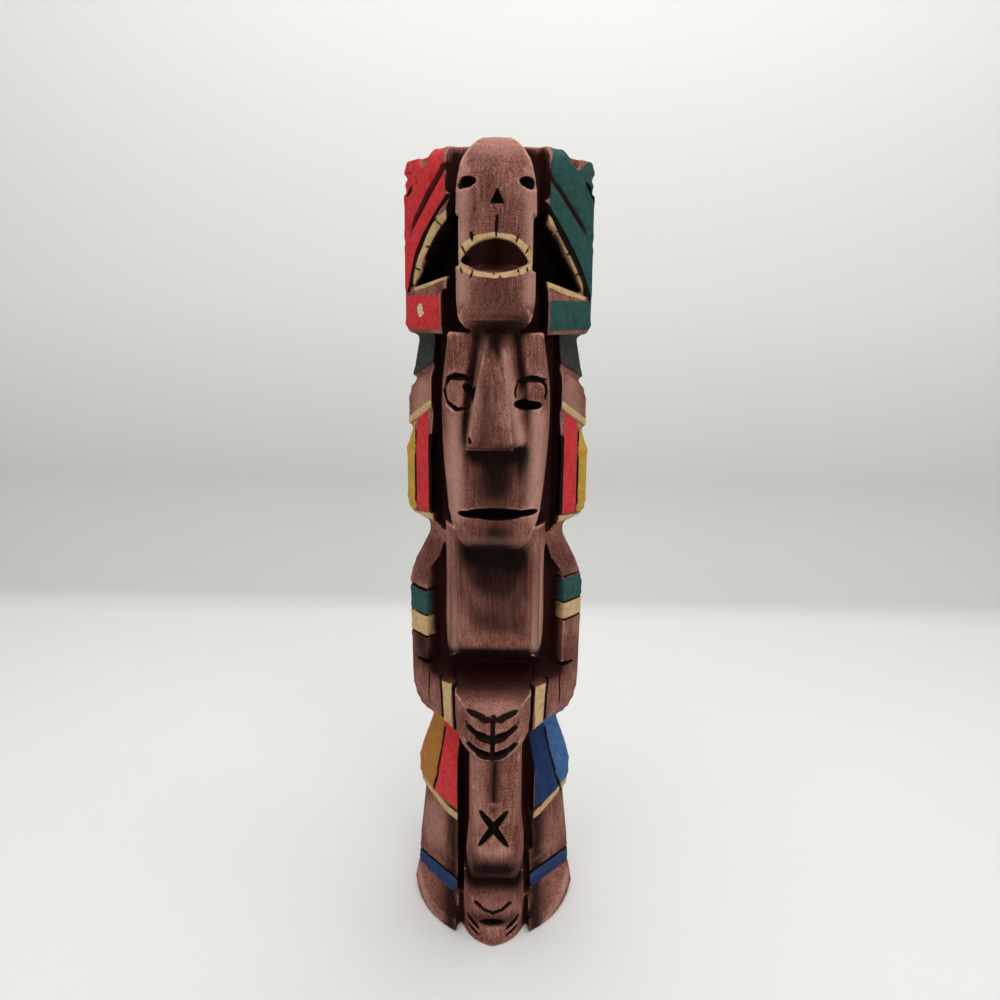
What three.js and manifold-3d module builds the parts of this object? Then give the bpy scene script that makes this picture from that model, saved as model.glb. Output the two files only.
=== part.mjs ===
// A carved wooden totem pole: one log, cut from the front into a beast head, a human mask, a figure
// with folded hands, a feathered skirt, legs, feet and a small upside-down mask.
// Millimetres. +X is the viewer's right, -Y faces the viewer, +Z is up. "Reach" is the distance in
// front of the log's axis, so a point of reach r has y = -r. The origin is under the middle of the base.
import * as THREE from "three";
import { mergeVertices } from "three/addons/utils/BufferGeometryUtils.js";
import Module from "manifold-3d";

const wasm = await Module();
wasm.setup();

// Driving sizes of the log.
const HEIGHT = 305;
const LOG_RADIUS = 34.6;
const LOG_SEGMENTS = 36;
const FLAT_RATIO = 1.026; // the two flat front faces lie where |x| + reach = radius * this
const BEYOND = 60; // outlines that cut right through run this far past the axis
const FACET_X = 27.6; // |x| where the upper arm's inner facet begins
const WELD = 1e-4;

// Levels where one figure ends and the next begins.
const FOOT_RIM = 6.5;
const ANKLE = 11;
const HEM = 52;
const WAIST = 85;
const FOREARM_TOP = 105.5;
const CHIN = 165.3;
const HAIR_BOTTOM = 169;
const HEAD_BOTTOM = 242.5;

/** A closed three.js geometry as a solid. A mirroring matrix turns its faces the right way out again. */
function solid(geometry, matrix = new THREE.Matrix4()) {
  const bare = geometry.clone().applyMatrix4(matrix);
  bare.deleteAttribute("normal");
  bare.deleteAttribute("uv");
  const merged = mergeVertices(bare, WELD);
  const triVerts = Uint32Array.from(merged.index.array);
  if (matrix.determinant() < 0) triVerts.reverse();
  const vertProperties = merged.attributes.position.array;
  return new wasm.Manifold(new wasm.Mesh({ numProp: 3, vertProperties, triVerts }));
}

const joined = (solids) => solids.reduce((all, one) => all.add(one));
const common = (solids) => solids.reduce((all, one) => all.intersect(one));
const onBothSides = (make) => [-1, 1].flatMap((side) => make(side));

/** A closed outline from its right half, listed from top to bottom, and its mirror image. */
function mirrored(half) {
  const left = half.filter(([x]) => x !== 0).map(([x, height]) => [-x, height]);
  return [...half, ...left.reverse()];
}

/** An outline moved to the right. */
const shifted = (distance, outline) => outline.map(([x, height]) => [x + distance, height]);

/** A smooth run of points through a few given ones. */
function curve(points, steps) {
  const spline = new THREE.SplineCurve(points.map(([a, b]) => new THREE.Vector2(a, b)));
  return spline.getPoints(steps).map(({ x, y }) => [x, y]);
}

/** A quarter ellipse from one point to another that leaves along the first axis. */
function quarter([a0, b0], [a1, b1], steps) {
  return Array.from({ length: steps + 1 }, (_, i) => {
    const angle = (i / steps) * (Math.PI / 2);
    return [a0 + (a1 - a0) * Math.sin(angle), b1 + (b0 - b1) * Math.cos(angle)];
  });
}

const basis = (x, y, z, origin) =>
  new THREE.Matrix4()
    .makeBasis(new THREE.Vector3(...x), new THREE.Vector3(...y), new THREE.Vector3(...z))
    .setPosition(...origin);

/** An outline extruded along its own third axis and placed by a matrix. */
function sawn(outline, depth, matrix) {
  const shape = new THREE.Shape(outline.map(([a, b]) => new THREE.Vector2(a, b)));
  return solid(new THREE.ExtrudeGeometry(shape, { depth, bevelEnabled: false }), matrix);
}

/** Sawn as seen from the front: an outline of [x, z], from one reach to another. */
const sawnFront = (outline, from, to) =>
  sawn(outline, to - from, basis([1, 0, 0], [0, 0, 1], [0, -1, 0], [0, -from, 0]));

/** Sawn as seen from the side: an outline of [reach, z], right through. */
const sawnSide = (outline) =>
  sawn(outline, 2 * BEYOND, basis([0, -1, 0], [0, 0, 1], [-1, 0, 0], [BEYOND, 0, 0]));

/** Sawn as seen from above: an outline of [x, reach], from one height down to another. */
const sawnAbove = (outline, top, bottom) =>
  sawn(outline, top - bottom, basis([1, 0, 0], [0, -1, 0], [0, 0, -1], [0, 0, top]));

/** Sawn square to a flat front face: an outline of [|x|, z], down to a depth under that face. */
function sawnFace(side, outline, depth) {
  const normal = [side * Math.SQRT1_2, -Math.SQRT1_2, 0];
  const reach = LOG_RADIUS * FLAT_RATIO;
  const origin = [-normal[0] * depth, -reach - normal[1] * depth, 0];
  return sawn(outline, depth + BEYOND, basis([side, 1, 0], [0, 0, 1], normal, origin));
}

/** What three outlines have in common, as a carver saws a block from the front, side and top. */
const carved = ({ front, side, above }) =>
  common([sawnFront(front, 0, BEYOND), sawnSide(side), sawnAbove(above, HEIGHT + 1, -1)]);

/** A block with its eight corners placed by at(right, front, up), each of them -1 or 1. */
function block(at) {
  const geometry = new THREE.BoxGeometry(2, 2, 2);
  const position = geometry.attributes.position;
  for (let i = 0; i < position.count; i += 1) {
    position.setXYZ(i, ...at(position.getX(i), -position.getY(i), position.getZ(i)));
  }
  return solid(geometry);
}

/** The matrix of a cut from a to b: first axis across it, second along it, third out of the wood. */
function cutMatrix(a, b, width, depth, normal, lengthen) {
  const from = new THREE.Vector3(...a);
  const along = new THREE.Vector3(...b).sub(from);
  const middle = from.addScaledVector(along, 1 / 2);
  const across = along.clone().cross(new THREE.Vector3(...normal)).setLength(width / 2);
  const out = across.clone().cross(along).setLength(depth);
  return new THREE.Matrix4()
    .makeBasis(across, along.multiplyScalar(lengthen), out)
    .setPosition(middle);
}

/** A V groove of even width from a to b. */
const groove = (a, b, width, depth, normal, lengthen = 1.02) =>
  solid(new THREE.CylinderGeometry(1, 1, 1, 4), cutMatrix(a, b, width, depth, normal, lengthen));

/** A chain of grooves through a run of points. */
const grooves = (points, width, depth, normal) =>
  points.slice(1).map((point, i) => groove(points[i], point, width, depth, normal, 1.08));

/** A gouge mark from a to b, widest and deepest halfway. */
const gouge = (a, b, width, depth, normal) =>
  solid(new THREE.SphereGeometry(1, 6, 6), cutMatrix(a, b, width, depth, normal, 1 / 2));

/** An ellipsoid. */
const ball = (centre, radii) =>
  solid(new THREE.SphereGeometry(1, 10, 6), new THREE.Matrix4().makeScale(...radii).setPosition(...centre));

const FRONT = [0, -1, 0];
const faceNormal = (side) => [side, -1, 0];
const ahead = (x, reach, z) => [x, -reach, z];

// ---- The log, turned to the outline that the figures share, with two flat faces in front ----

const FOOT_FLAT = 0.22;
const FLAT = 1;
const CAP_RISE = 0.7;
const LOBE_RISE = 0.85;
const HAIR_FALL = -0.15;
const HEM_FALL = -0.6;
const RISE_SPAN = 11; // a slanted edge is level again this far in from the corner
const BACK_RISE = 0.4; // the share of a slant that goes on at the back

/** One level of the log: flat is its share of flatness in front, rise its slant towards the middle. */
const ring = (z, radius, flat = FLAT, rise = 0) => ({ z, radius, flat, rise });

/** Levels along a run of [radius, z] points. */
const ringsAlong = (points, rise = 0) => points.map(([radius, z]) => ring(z, radius, FLAT, rise));

const FEET_AND_LEGS = [
  ring(0, 34.3, FOOT_FLAT),
  ring(2, 35, FOOT_FLAT),
  ring(FOOT_RIM, 34.4, FOOT_FLAT),
  ring(ANKLE, 33.2),
  ring(26, 32.3),
  ring(HEM - 3, 29.8, FLAT, HEM_FALL),
];
const SKIRT = [
  ring(HEM - 0.5, 31.2, FLAT, HEM_FALL),
  ring(HEM + 5, 32.2, FLAT, HEM_FALL / 2),
  ring(HEM + 12, 32.2),
  ring(HEM + 18, 30.6),
  ring(WAIST - 3, 26.4),
];
const ARMS = [
  ...ringsAlong(quarter([26, WAIST], [LOG_RADIUS, 104], 5)),
  ring(144, LOG_RADIUS + 0.2),
  ring(148.5, 33.8),
  ring(153, 32.2),
  ring(CHIN - 1, 26.4),
];
const HAIR = [
  ring(HAIR_BOTTOM, 26.6, FLAT, HAIR_FALL),
  ...ringsAlong(quarter([30, 171], [LOG_RADIUS + 0.6, 178.5], 3), HAIR_FALL),
  ring(198, LOG_RADIUS + 0.5),
  ring(206.5, 32.3, FLAT, LOBE_RISE),
  ring(207.5, LOG_RADIUS - 0.4, FLAT, LOBE_RISE),
  ring(217.5, 33.8, FLAT, LOBE_RISE),
  ring(221.5, 32.8, FLAT, CAP_RISE),
  ring(224.8, 30.2, FLAT, CAP_RISE),
  ring(225.8, 32.1, FLAT, CAP_RISE),
  ring(HEAD_BOTTOM - 2, 29.4),
];
const HEAD = [
  ring(HEAD_BOTTOM - 0.8, 33.1),
  ring(HEAD_BOTTOM + 2, LOG_RADIUS),
  ring(288, LOG_RADIUS - 0.3),
  ring(297, LOG_RADIUS - 0.6),
  ring(300.8, 32.8),
  ring(303.4, 29),
];
const RINGS = [...FEET_AND_LEGS, ...SKIRT, ...ARMS, ...HAIR, ...HEAD];
const LOG_TOP = 304.6;

/** The log: a turned shape, flattened in front, with its slanted edges. */
function log() {
  const rings = [ring(0, 0), ...RINGS, ring(LOG_TOP, 0)];
  const profile = rings.map(({ z, radius }) => new THREE.Vector2(radius, z));
  const geometry = new THREE.LatheGeometry(profile, LOG_SEGMENTS).rotateX(Math.PI / 2);
  const position = geometry.attributes.position;
  for (let i = 0; i < position.count; i += 1) {
    const { radius, flat, rise } = rings[i % rings.length];
    const [x, y] = [position.getX(i), position.getY(i)];
    const spread = (Math.abs(x) + Math.abs(y)) / Math.max(radius, WELD);
    const facing = y < 0 ? flat : 0;
    const shrink = THREE.MathUtils.lerp(1, Math.min(1, FLAT_RATIO / Math.max(spread, 1)), facing);
    const inward = THREE.MathUtils.clamp(radius - Math.abs(x) * shrink, 0, RISE_SPAN);
    const slant = rise * inward * (y < 0 ? 1 : BACK_RISE);
    position.setXYZ(i, x * shrink, y * shrink, position.getZ(i) + slant);
  }
  return solid(geometry);
}

/** The log's radius at a height. */
function radiusAt(z) {
  const above = RINGS.findIndex((level) => level.z >= z);
  const [low, high] = [RINGS[above - 1], RINGS[above]];
  return THREE.MathUtils.mapLinear(z, low.z, high.z, low.radius, high.radius);
}

/** The point of a flat front face at |x| and z. */
const onFace = (side, x, z) => ahead(side * x, radiusAt(z) * FLAT_RATIO - x, z);

/** The direction at the back, from a side (0 degrees) to the middle of the back (90). */
function backwards(side, degrees) {
  const angle = THREE.MathUtils.degToRad(degrees);
  return [side * Math.cos(angle), Math.sin(angle), 0];
}

/** The point of the round back in such a direction at a height. */
function onBack(side, degrees, z) {
  const [x, y] = backwards(side, degrees);
  return [x * radiusAt(z), y * radiusAt(z), z];
}

/** A run of points along a flat front face, from one [|x|, z] to another. */
function faceLine(side, [x0, z0], [x1, z1], steps) {
  const { lerp } = THREE.MathUtils;
  const point = (_, i) => onFace(side, lerp(x0, x1, i / steps), lerp(z0, z1, i / steps));
  return Array.from({ length: steps + 1 }, point);
}

/** A run of points down the round back, at given heights. */
const backLine = (side, degrees, heights) => heights.map((z) => onBack(side, degrees, z));

const SHOULDER_LEAF = [[19, 172], [19.5, 163], [21.5, 157], [27.2, 149], [FACET_X, 95]];

/** The channels that part the middle figures from what stands beside them. */
function channels() {
  const uneven = (top, bottom, left, right, floor) =>
    sawnAbove(
      [[-left[0], BEYOND], [-left[0], left[1]], [-floor[0], floor[1]], floor, right, [right[0], BEYOND]],
      top,
      bottom,
    );
  const channel = (top, bottom, wall, floor) => uneven(top, bottom, wall, wall, floor);
  const aboveForearms = block((right, front, up) => [
    right * BEYOND,
    front > 0 ? -45 : -3,
    up > 0 ? CHIN + 10 : FOREARM_TOP + (front > 0 ? -8 : 6),
  ]);
  const besideTorso = [
    channel(172, 95, [FACET_X, 8.6], [22, 3.5]),
    sawnFront(mirrored(SHOULDER_LEAF), 0, BEYOND),
    aboveForearms,
  ];
  return [
    channel(HEIGHT + 1, 256, [18, 17.5], [14.4, 10]),
    uneven(257, HEAD_BOTTOM - 3, [20, 15.5], [18.2, 17.3], [15, 9]),
    channel(HEAD_BOTTOM - 1, HAIR_BOTTOM - 2, [24.4, 11.5], [21, 5]),
    common(besideTorso),
    uneven(WAIST + 1, 30, [14.4, 16], [16.6, 14], [12.6, 11]),
    uneven(31, -1, [14.2, 18], [15.6, 17], [12.6, 14]),
  ];
}

// ---- The beast head ----

/** The middle of the head: a domed block with a rounded chin. */
const beastFace = () =>
  carved({
    front: mirrored([
      ...curve([[0, 305], [4.4, 303.8], [8.6, 299.6], [11.6, 294], [13.2, 286]], 9),
      ...quarter([8, 243.2], [13.3, 253], 4).reverse(),
    ]),
    side: [
      [5, 305],
      ...curve([[17, 305], [25, 303.6], [31, 299.4], [34.4, 292]], 6),
      [35.3, 280],
      ...curve([[35.2, 257], [33.8, 250], [28, 243.2]], 5),
      [5, 243.2],
    ],
    above: mirrored([...curve([[0, 35.3], [6.5, 34.9], [11, 33.4], [13.3, 29.5]], 6), [13.3, 5]]),
  });

/** What is cut into the middle of the head: mouth, nostril, lip crease and eyes. */
function beastFaceCuts() {
  const mouthOpening = [
    ...curve([[-11.7, 265], [-6.5, 270.6], [0, 272.4], [6.5, 270.4], [11, 264.6]], 8),
    ...curve([[5.5, 262.2], [0, 261.6], [-6, 262.3]], 4),
  ];
  const mouthDepth = [[BEYOND, 250], [36, 261], [20, 266.5], [20, 274], [BEYOND, 280]];
  const nostril = [[0.5, 287], [2.5, 282.6], [-1.5, 282.6]];
  const eyes = onBothSides((side) => [
    gouge(ahead(0.6 + side * 13.6, 31, 288), ahead(0.6 + side * 6.8, 34.6, 289.4), 4, 3, [side * 0.5, -1, 0]),
  ]);
  return [
    common([sawnFront(mouthOpening, 0, BEYOND), sawnSide(mouthDepth)]),
    sawnFront(nostril, 33, BEYOND),
    gouge(ahead(0.5, 35.4, 273), ahead(0.5, 35.4, 281), 1.2, 1, FRONT),
    ...eyes,
  ];
}

// The head's two sides differ a little, as carved.
const BEAST_SIDES = [
  { side: -1, bandTop: 294, lipTop: 287, corner: 256, notch: [23.9, 26.6, 29.3] },
  { side: 1, bandTop: 291.5, lipTop: 285.5, corner: 254.5, notch: [23.1, 27.7, 30.2] },
];
const JAW_CORNER_X = 33.7;

/** What is cut into one side of the head: mouth, teeth strips, lip line, band, ear notch and eye. */
function beastSideCuts({ side, bandTop, lipTop, corner, notch: [notchIn, notchLow, notchOut] }) {
  const normal = faceNormal(side);
  const lipSlope = (lipTop - corner) / (17.5 - JAW_CORNER_X);
  const lipInner = [13, corner + lipSlope * (13 - JAW_CORNER_X)];
  const upperTeeth = [[JAW_CORNER_X, corner], [13, corner + 6], lipInner];
  const lowerTeeth = [[37, corner - 1], [13, corner - 1], [13, corner + 6.2], [37, corner]];
  const mouth = [[8, 280], [17.8, 279.5], [22.3, 275], [28.4, 264.5], [32, corner + 1.6], [8, corner + 8]];
  const earNotch = [[notchIn, HEIGHT], [notchIn, 302], [notchLow, 297], [notchOut, 301.5], [31, HEIGHT]];
  const besidePeak = [[19.4, HEIGHT + 1], [24.4, 300.9], [36, 300.6], [36, HEIGHT + 1]];
  return [
    sawnFace(side, upperTeeth, 1.2),
    sawnFace(side, lowerTeeth, 0.8),
    sawnFace(side, mouth, 11),
    sawnFace(side, earNotch, 2.6),
    sawnFront(besidePeak.map(([x, z]) => [side * x, z]), -BEYOND, BEYOND),
    groove(onFace(side, 16.5, lipTop + 1.9), onFace(side, JAW_CORNER_X, corner), 1.7, 2.6, normal),
    groove(onFace(side, 18.5, bandTop + 1.5), onFace(side, 35.5, 272.5), 2.2, 1.4, normal),
    ball([side * 35.2, 1.2, 292.8], [5.4, 7, 3.6]),
  ];
}

const beastEye = (side) => [ball([side * 31.2, 0.8, 292.4], [2.6, 4.4, 3])];

// ---- The human mask ----

/** The mask's long face with its rounded chin. */
const maskFace = () =>
  carved({
    front: mirrored([
      [16.4, HEAD_BOTTOM],
      ...curve([[17.4, 236], [19.4, 222], [19.3, 206], [16.9, 182], [14.6, 174]], 9),
      ...curve([[12.9, 169.6], [8, 166.2], [0, CHIN]], 5),
    ]),
    side: [
      [0, HEAD_BOTTOM],
      [27.5, HEAD_BOTTOM],
      ...curve([[29.6, 226], [30.2, 206], [31.2, 186], [31.4, 174], [29.8, 167.6], [26.5, CHIN]], 11),
      [0, CHIN],
    ],
    above: mirrored([...curve([[0, 31.2], [8, 30], [14.5, 26.6], [18.6, 21], [19.8, 14]], 8), [20.5, 0]]),
  });

/** The nose: a wedge that widens downwards, its lit flank on the right. */
const nose = () =>
  block((right, front, up) => {
    const leftEdge = up > 0 ? { ridge: -2.8, base: -5.4 } : { ridge: -9.2, base: -10.6 };
    const rightEdge = up > 0 ? { ridge: 2.8, base: 9.6 } : { ridge: 6.4, base: 14 };
    const edge = right > 0 ? rightEdge : leftEdge;
    const underside = front > 0 ? 203.8 : 206;
    const height = up > 0 ? HEAD_BOTTOM : underside;
    return front > 0 ? ahead(edge.ridge, up > 0 ? 30.4 : 37.4, height) : ahead(edge.base, 20, height);
  });

/** What is cut into the mask: brows and lids around the eyes, mouth, nostril and the cheeks' flutes. */
function maskCuts() {
  const onMask = (x, z) => ahead(x, 29.9 - 8.9 * (Math.max(Math.abs(x) - 7, 0) / 11.6) ** 2, z);
  const eyeRing = (side, height, from, to) => {
    const steps = 7;
    return Array.from({ length: steps + 1 }, (_, i) => {
      const angle = THREE.MathUtils.degToRad(from + ((to - from) * i) / steps);
      return onMask(side * (12.7 + 5.4 * Math.cos(angle)), 222.4 + height * Math.sin(angle));
    });
  };
  const eyeNormal = (side) => [side * 0.45, -1, 0];
  const flutes = onBothSides((side) => [
    groove(ahead(0.5 + side * 6.2, 28.4, 241), ahead(0.5 + side * 11.6, 29.6, 204), 5, 1.9, FRONT),
  ]);
  return [
    ...flutes,
    ...grooves(eyeRing(-1, 6.2, -40, 320), 2, 1.9, eyeNormal(-1)),
    ...grooves(eyeRing(1, 5.4, -25, 190), 2, 1.9, eyeNormal(1)),
    gouge(onMask(6, 218.8), onMask(16.4, 217.8), 3.6, 3.4, eyeNormal(1)),
    gouge(ahead(-10.9, 31.2, 180), ahead(12.9, 31.2, 179.8), 4.6, 5, FRONT),
    gouge(ahead(-9.6, 36.6, 208.6), ahead(-7.8, 37.6, 206.4), 1.6, 1.2, FRONT),
  ];
}

const HAIR_SPLIT_X = 31.3;
const BACK_LINES = [20, 65]; // degrees round from the side

/** The grooves that part the hair's long strips, in front and at the back. */
function hairCuts(side) {
  const split = faceLine(side, [HAIR_SPLIT_X, 205], [HAIR_SPLIT_X, 173.5], 3);
  const strands = BACK_LINES.flatMap((degrees) =>
    grooves(backLine(side, degrees, [203, 180, 172.5]), 2, 1.3, backwards(side, degrees)),
  );
  return [...grooves(split, 1.5, 1.4, faceNormal(side)), ...strands];
}

// ---- The figure with folded hands ----

/** The rounded chest. */
const torso = () =>
  carved({
    front: mirrored([[19, 172], [18.8, 150], [19.4, 130], [18.6, 121], [16, 113]]),
    side: [
      [0, 172],
      [21.5, 172],
      ...curve([[22.4, 160], [23.4, 142], [22.8, 129], [20.4, 121.5], [14, 117]], 8),
      [8, 113],
      [0, 113],
    ],
    above: mirrored([...curve([[0, 23.4], [8, 22.7], [14.4, 19.6], [18.4, 14], [19.4, 8]], 8), [19.4, 0]]),
  });

/** The folded hands: a shell that leans forward and ends in a blunt tip. */
const hands = () =>
  carved({
    front: mirrored([
      [14.6, 114],
      [14.8, 98],
      ...curve([[14, 92], [11.4, 87.8], [6.4, 85.4], [0, 84.2]], 6),
    ]),
    side: [
      [0, 114],
      [12, 111.5],
      ...curve([[20, 108.6], [28, 106], [33.4, 101.4], [36.2, 94], [36.8, 87], [35.4, 84]], 10),
      [0, 84],
    ],
    above: mirrored([...curve([[0, 36.8], [5, 35.5], [10.4, 31], [14.8, 25]], 7), [14.8, 0]]),
  });

const FINGER_LEVELS = [105.6, 98.8, 91.6];

/** The middle crease of the hands and three finger grooves on each side of it. */
function handCuts() {
  const creaseLine = [ahead(0.4, 32, 107.5), ahead(0.4, 36.4, 96), ahead(0.4, 36.9, 82)];
  const crease = grooves(creaseLine, 1.9, 2.2, FRONT);
  const fingers = onBothSides((side) =>
    FINGER_LEVELS.flatMap((level, i) => {
      const lean = [side * 0.7, -1, 0.2];
      const inner = ahead(side * 0.6, i === 0 ? 35.2 : 36.8, level - 4.2);
      const middle = ahead(side * 5.6, i === 0 ? 33.6 : 35, level - 3.2);
      const outer = ahead(side * 10.8, 30.4, level - 0.4);
      return [groove(inner, middle, 2.6, 2.3, lean, 1.1), groove(middle, outer, 1.9, 1.7, lean, 1.02)];
    }),
  );
  return [...crease, ...fingers];
}

// The armbands are carved at different heights on the two arms.
const ARM_BANDS = [
  { side: -1, edges: [142, 131.4, 122] },
  { side: 1, edges: [148.4, 138, 130.6] },
];

const forearmFace = (side, x, z) => ahead(side * x, LOG_RADIUS * FLAT_RATIO - x, z);

/** The grooves of one arm: band edges, elbow folds and both sides of the wristband. */
function armCuts({ side, edges }) {
  const normal = faceNormal(side);
  const around = (z, width, depth) => [
    groove(onFace(side, FACET_X - 0.4, z), onFace(side, 36, z), width, depth, normal),
    groove(ahead(side * FACET_X, 8.6, z), ahead(side * 24, 5.3, z), width, depth, [-side, -1, 0]),
    groove([side * 35, -3, z], [side * 33.6, 9, z], width, depth, [side, 0, 0]),
  ];
  return [
    ...around(edges[0], 1.8, 1.3),
    ...around(edges[1], 1.2, 0.9),
    ...around(edges[2], 1.4, 0.8),
    gouge(onFace(side, 32.4, 110.8), onFace(side, 18.5, 112.6), 2, 2.4, normal),
    groove(forearmFace(side, 26.4, 107.5), forearmFace(side, 27.2, 92), 1.6, 0.9, normal),
    groove(forearmFace(side, 21.6, 108), forearmFace(side, 20.4, 85), 1.5, 1.5, normal),
    groove(ahead(side * 15.4, 20.2, 109), ahead(side * 14.4, 21.4, 84), 2.4, 3, normal),
  ];
}

/** One forearm: it runs from the elbow along the flat face to the hands, undercut below. */
function forearm(side) {
  const reach = LOG_RADIUS * FLAT_RATIO;
  const along = (x, inset) => [side * (x - inset * Math.SQRT1_2), -(reach - x - inset * Math.SQRT1_2)];
  return block((right, front, up) => {
    const outer = right * side > 0;
    const [x, y] = along(outer ? 27 : 13, front > 0 ? 0 : 14);
    const top = outer ? 108 : FOREARM_TOP;
    const bottom = outer ? 92 : 87;
    return [x, y, up > 0 ? top + (front > 0 ? 0 : 4) : bottom - (front > 0 ? 0 : 5)];
  });
}

// ---- Skirt, legs, feet and the upside-down mask ----

// The log is a little crooked: its lowest figures stand right of the axis.
const RIDGE_SHIFT = 1.3;
const PROW_SHIFT = 0.9;

/** The ridge between the skirt's halves, ending in a blunt snout. */
const ridge = () =>
  carved({
    front: shifted(RIDGE_SHIFT, mirrored([
      [10.2, 95],
      [10.4, 52],
      ...curve([[11, 45], [11.9, 36], [11.2, 32]], 4),
      [8.4, 28],
    ])),
    side: [
      [0, 95],
      [29, 95],
      [30.6, 84],
      ...curve([[32, 66], [32.8, 50], [34.8, 40], [34.4, 33.5], [31, 28]], 9),
      [0, 26.5],
    ],
    above: shifted(RIDGE_SHIFT, mirrored([
      ...curve([[0, 34.8], [6, 33.6], [10, 29.6], [12, 24]], 7),
      [12, 0],
    ])),
  });

/** The small upside-down mask at the foot, its brow running out into a prow. */
const footMask = () =>
  carved({
    front: shifted(PROW_SHIFT, mirrored([[12, 29], [12.4, 14], [12.7, 0]])),
    side: [
      [0, 29],
      [26.8, 29],
      ...curve([[27.4, 25], [30.4, 22.6], [32.4, 17], [34.4, 9], [36.5, 0]], 8),
      [0, 0],
    ],
    above: shifted(PROW_SHIFT, mirrored([
      ...curve([[0, 36.5], [5.6, 34.2], [10, 30.2], [12.8, 25]], 6),
      [12.8, 0],
    ])),
  });

/** The cuts of the ridge and the mask below it. */
function lowerCuts() {
  const cross = onBothSides((side) => [
    gouge(ahead(1 + side * 6.4, 32.6, 61), ahead(1 - side * 6.6, 34, 43.4), 3.4, 3, FRONT),
  ]);
  const onProw = (x, reach, z) => ahead(PROW_SHIFT + x, reach, z);
  const smile = [-7, -3.6, 0, 3.6, 7].map((x) => onProw(x, 33.6 - x ** 2 * 0.035, 13.6 + x ** 2 * 0.08));
  const eyes = onBothSides((side) => {
    const cheek = [side * 0.7, -1, 0.3];
    return [
      gouge(onProw(side * 5.2, 34, 6.6), onProw(side * 11.8, 29, 9.4), 2.6, 2, cheek),
      gouge(onProw(side * 5.2, 34.4, 3.2), onProw(side * 11.2, 29.6, 5.4), 1.8, 1.6, cheek),
    ];
  });
  return [
    ...cross,
    groove(ahead(0.8, 30.9, 86), ahead(0.8, 32.6, 62), 1.4, 0.8, FRONT),
    ...grooves(smile, 1.6, 1.4, [0, -1, 0.3]),
    gouge(onProw(-6, 34.4, 9.4), onProw(6, 34.4, 9.4), 3.6, 2.8, FRONT),
    ...eyes,
  ];
}

const ANKLE_BANDS = [
  { side: -1, edges: [16.6, 11], split: [20.6, 25.4] },
  { side: 1, edges: [19.4, 13], split: [21.2, 28.8] },
];

/** The grooves of one side of the skirt and its leg. */
function legCuts({ side, edges, split: [splitTop, splitBottom] }) {
  const normal = faceNormal(side);
  const strips = BACK_LINES.flatMap((degrees) =>
    grooves(backLine(side, degrees, [WAIST - 3, HEM + 17, HEM + 2]), 1.8, 1.2, backwards(side, degrees)),
  );
  const bands = edges.flatMap((z, i) => [
    groove(onFace(side, 12, z), onFace(side, 35, z), 1.8 - i * 0.5, 1.5 - i * 0.4, normal),
    groove([side * 33.4, -3, z], [side * 31.4, 10, z], 1.8 - i * 0.5, 1.5 - i * 0.4, [side, 0, 0]),
  ]);
  return [
    ...grooves(faceLine(side, [splitTop, WAIST - 1], [splitBottom, HEM - 3], 5), 1.5, 1.3, normal),
    ...strips,
    ...bands,
  ];
}

/** The whole pole, its box centred on the origin's vertical axis. */
function totemPole() {
  const middle = [beastFace(), maskFace(), nose(), torso(), hands(), ridge(), footMask()];
  const bare = log().subtract(joined(channels()));
  const figures = joined([bare, ...middle, ...onBothSides(forearm)]);
  const cuts = [
    ...beastFaceCuts(),
    ...BEAST_SIDES.flatMap(beastSideCuts),
    ...maskCuts(),
    ...onBothSides(hairCuts),
    ...handCuts(),
    ...ARM_BANDS.flatMap(armCuts),
    ...lowerCuts(),
    ...ANKLE_BANDS.flatMap(legCuts),
  ];
  const pole = figures.subtract(joined(cuts)).add(joined(onBothSides(beastEye)));
  const { vertProperties, triVerts } = pole.getMesh();
  const geometry = new THREE.BufferGeometry()
    .setAttribute("position", new THREE.BufferAttribute(vertProperties, 3))
    .setIndex(new THREE.BufferAttribute(triVerts, 1));
  geometry.computeBoundingBox();
  const centre = geometry.boundingBox.getCenter(new THREE.Vector3());
  return geometry.translate(-centre.x, -centre.y, -geometry.boundingBox.min.z);
}

const carvedWood = new THREE.MeshStandardMaterial({ color: 0x8a5a52, roughness: 0.7, metalness: 0 });
const pole = new THREE.Mesh(totemPole(), carvedWood);
pole.name = "totem_pole";

const group = new THREE.Group();
group.add(pole);
export default group;
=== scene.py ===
"""A carved and painted wooden totem pole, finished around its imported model.

Metres, Z up, the carved front towards -Y. Sizes of the carving are written in millimetres from the
axis of the log: x to the viewer's right, reach in front of the axis, z above the floor.
"""

import logging
import math
from dataclasses import dataclass, field
from enum import Enum
from typing import Iterable, Sequence

import bpy
import numpy as np
from mathutils import Matrix, Vector
from mathutils.bvhtree import BVHTree

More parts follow.
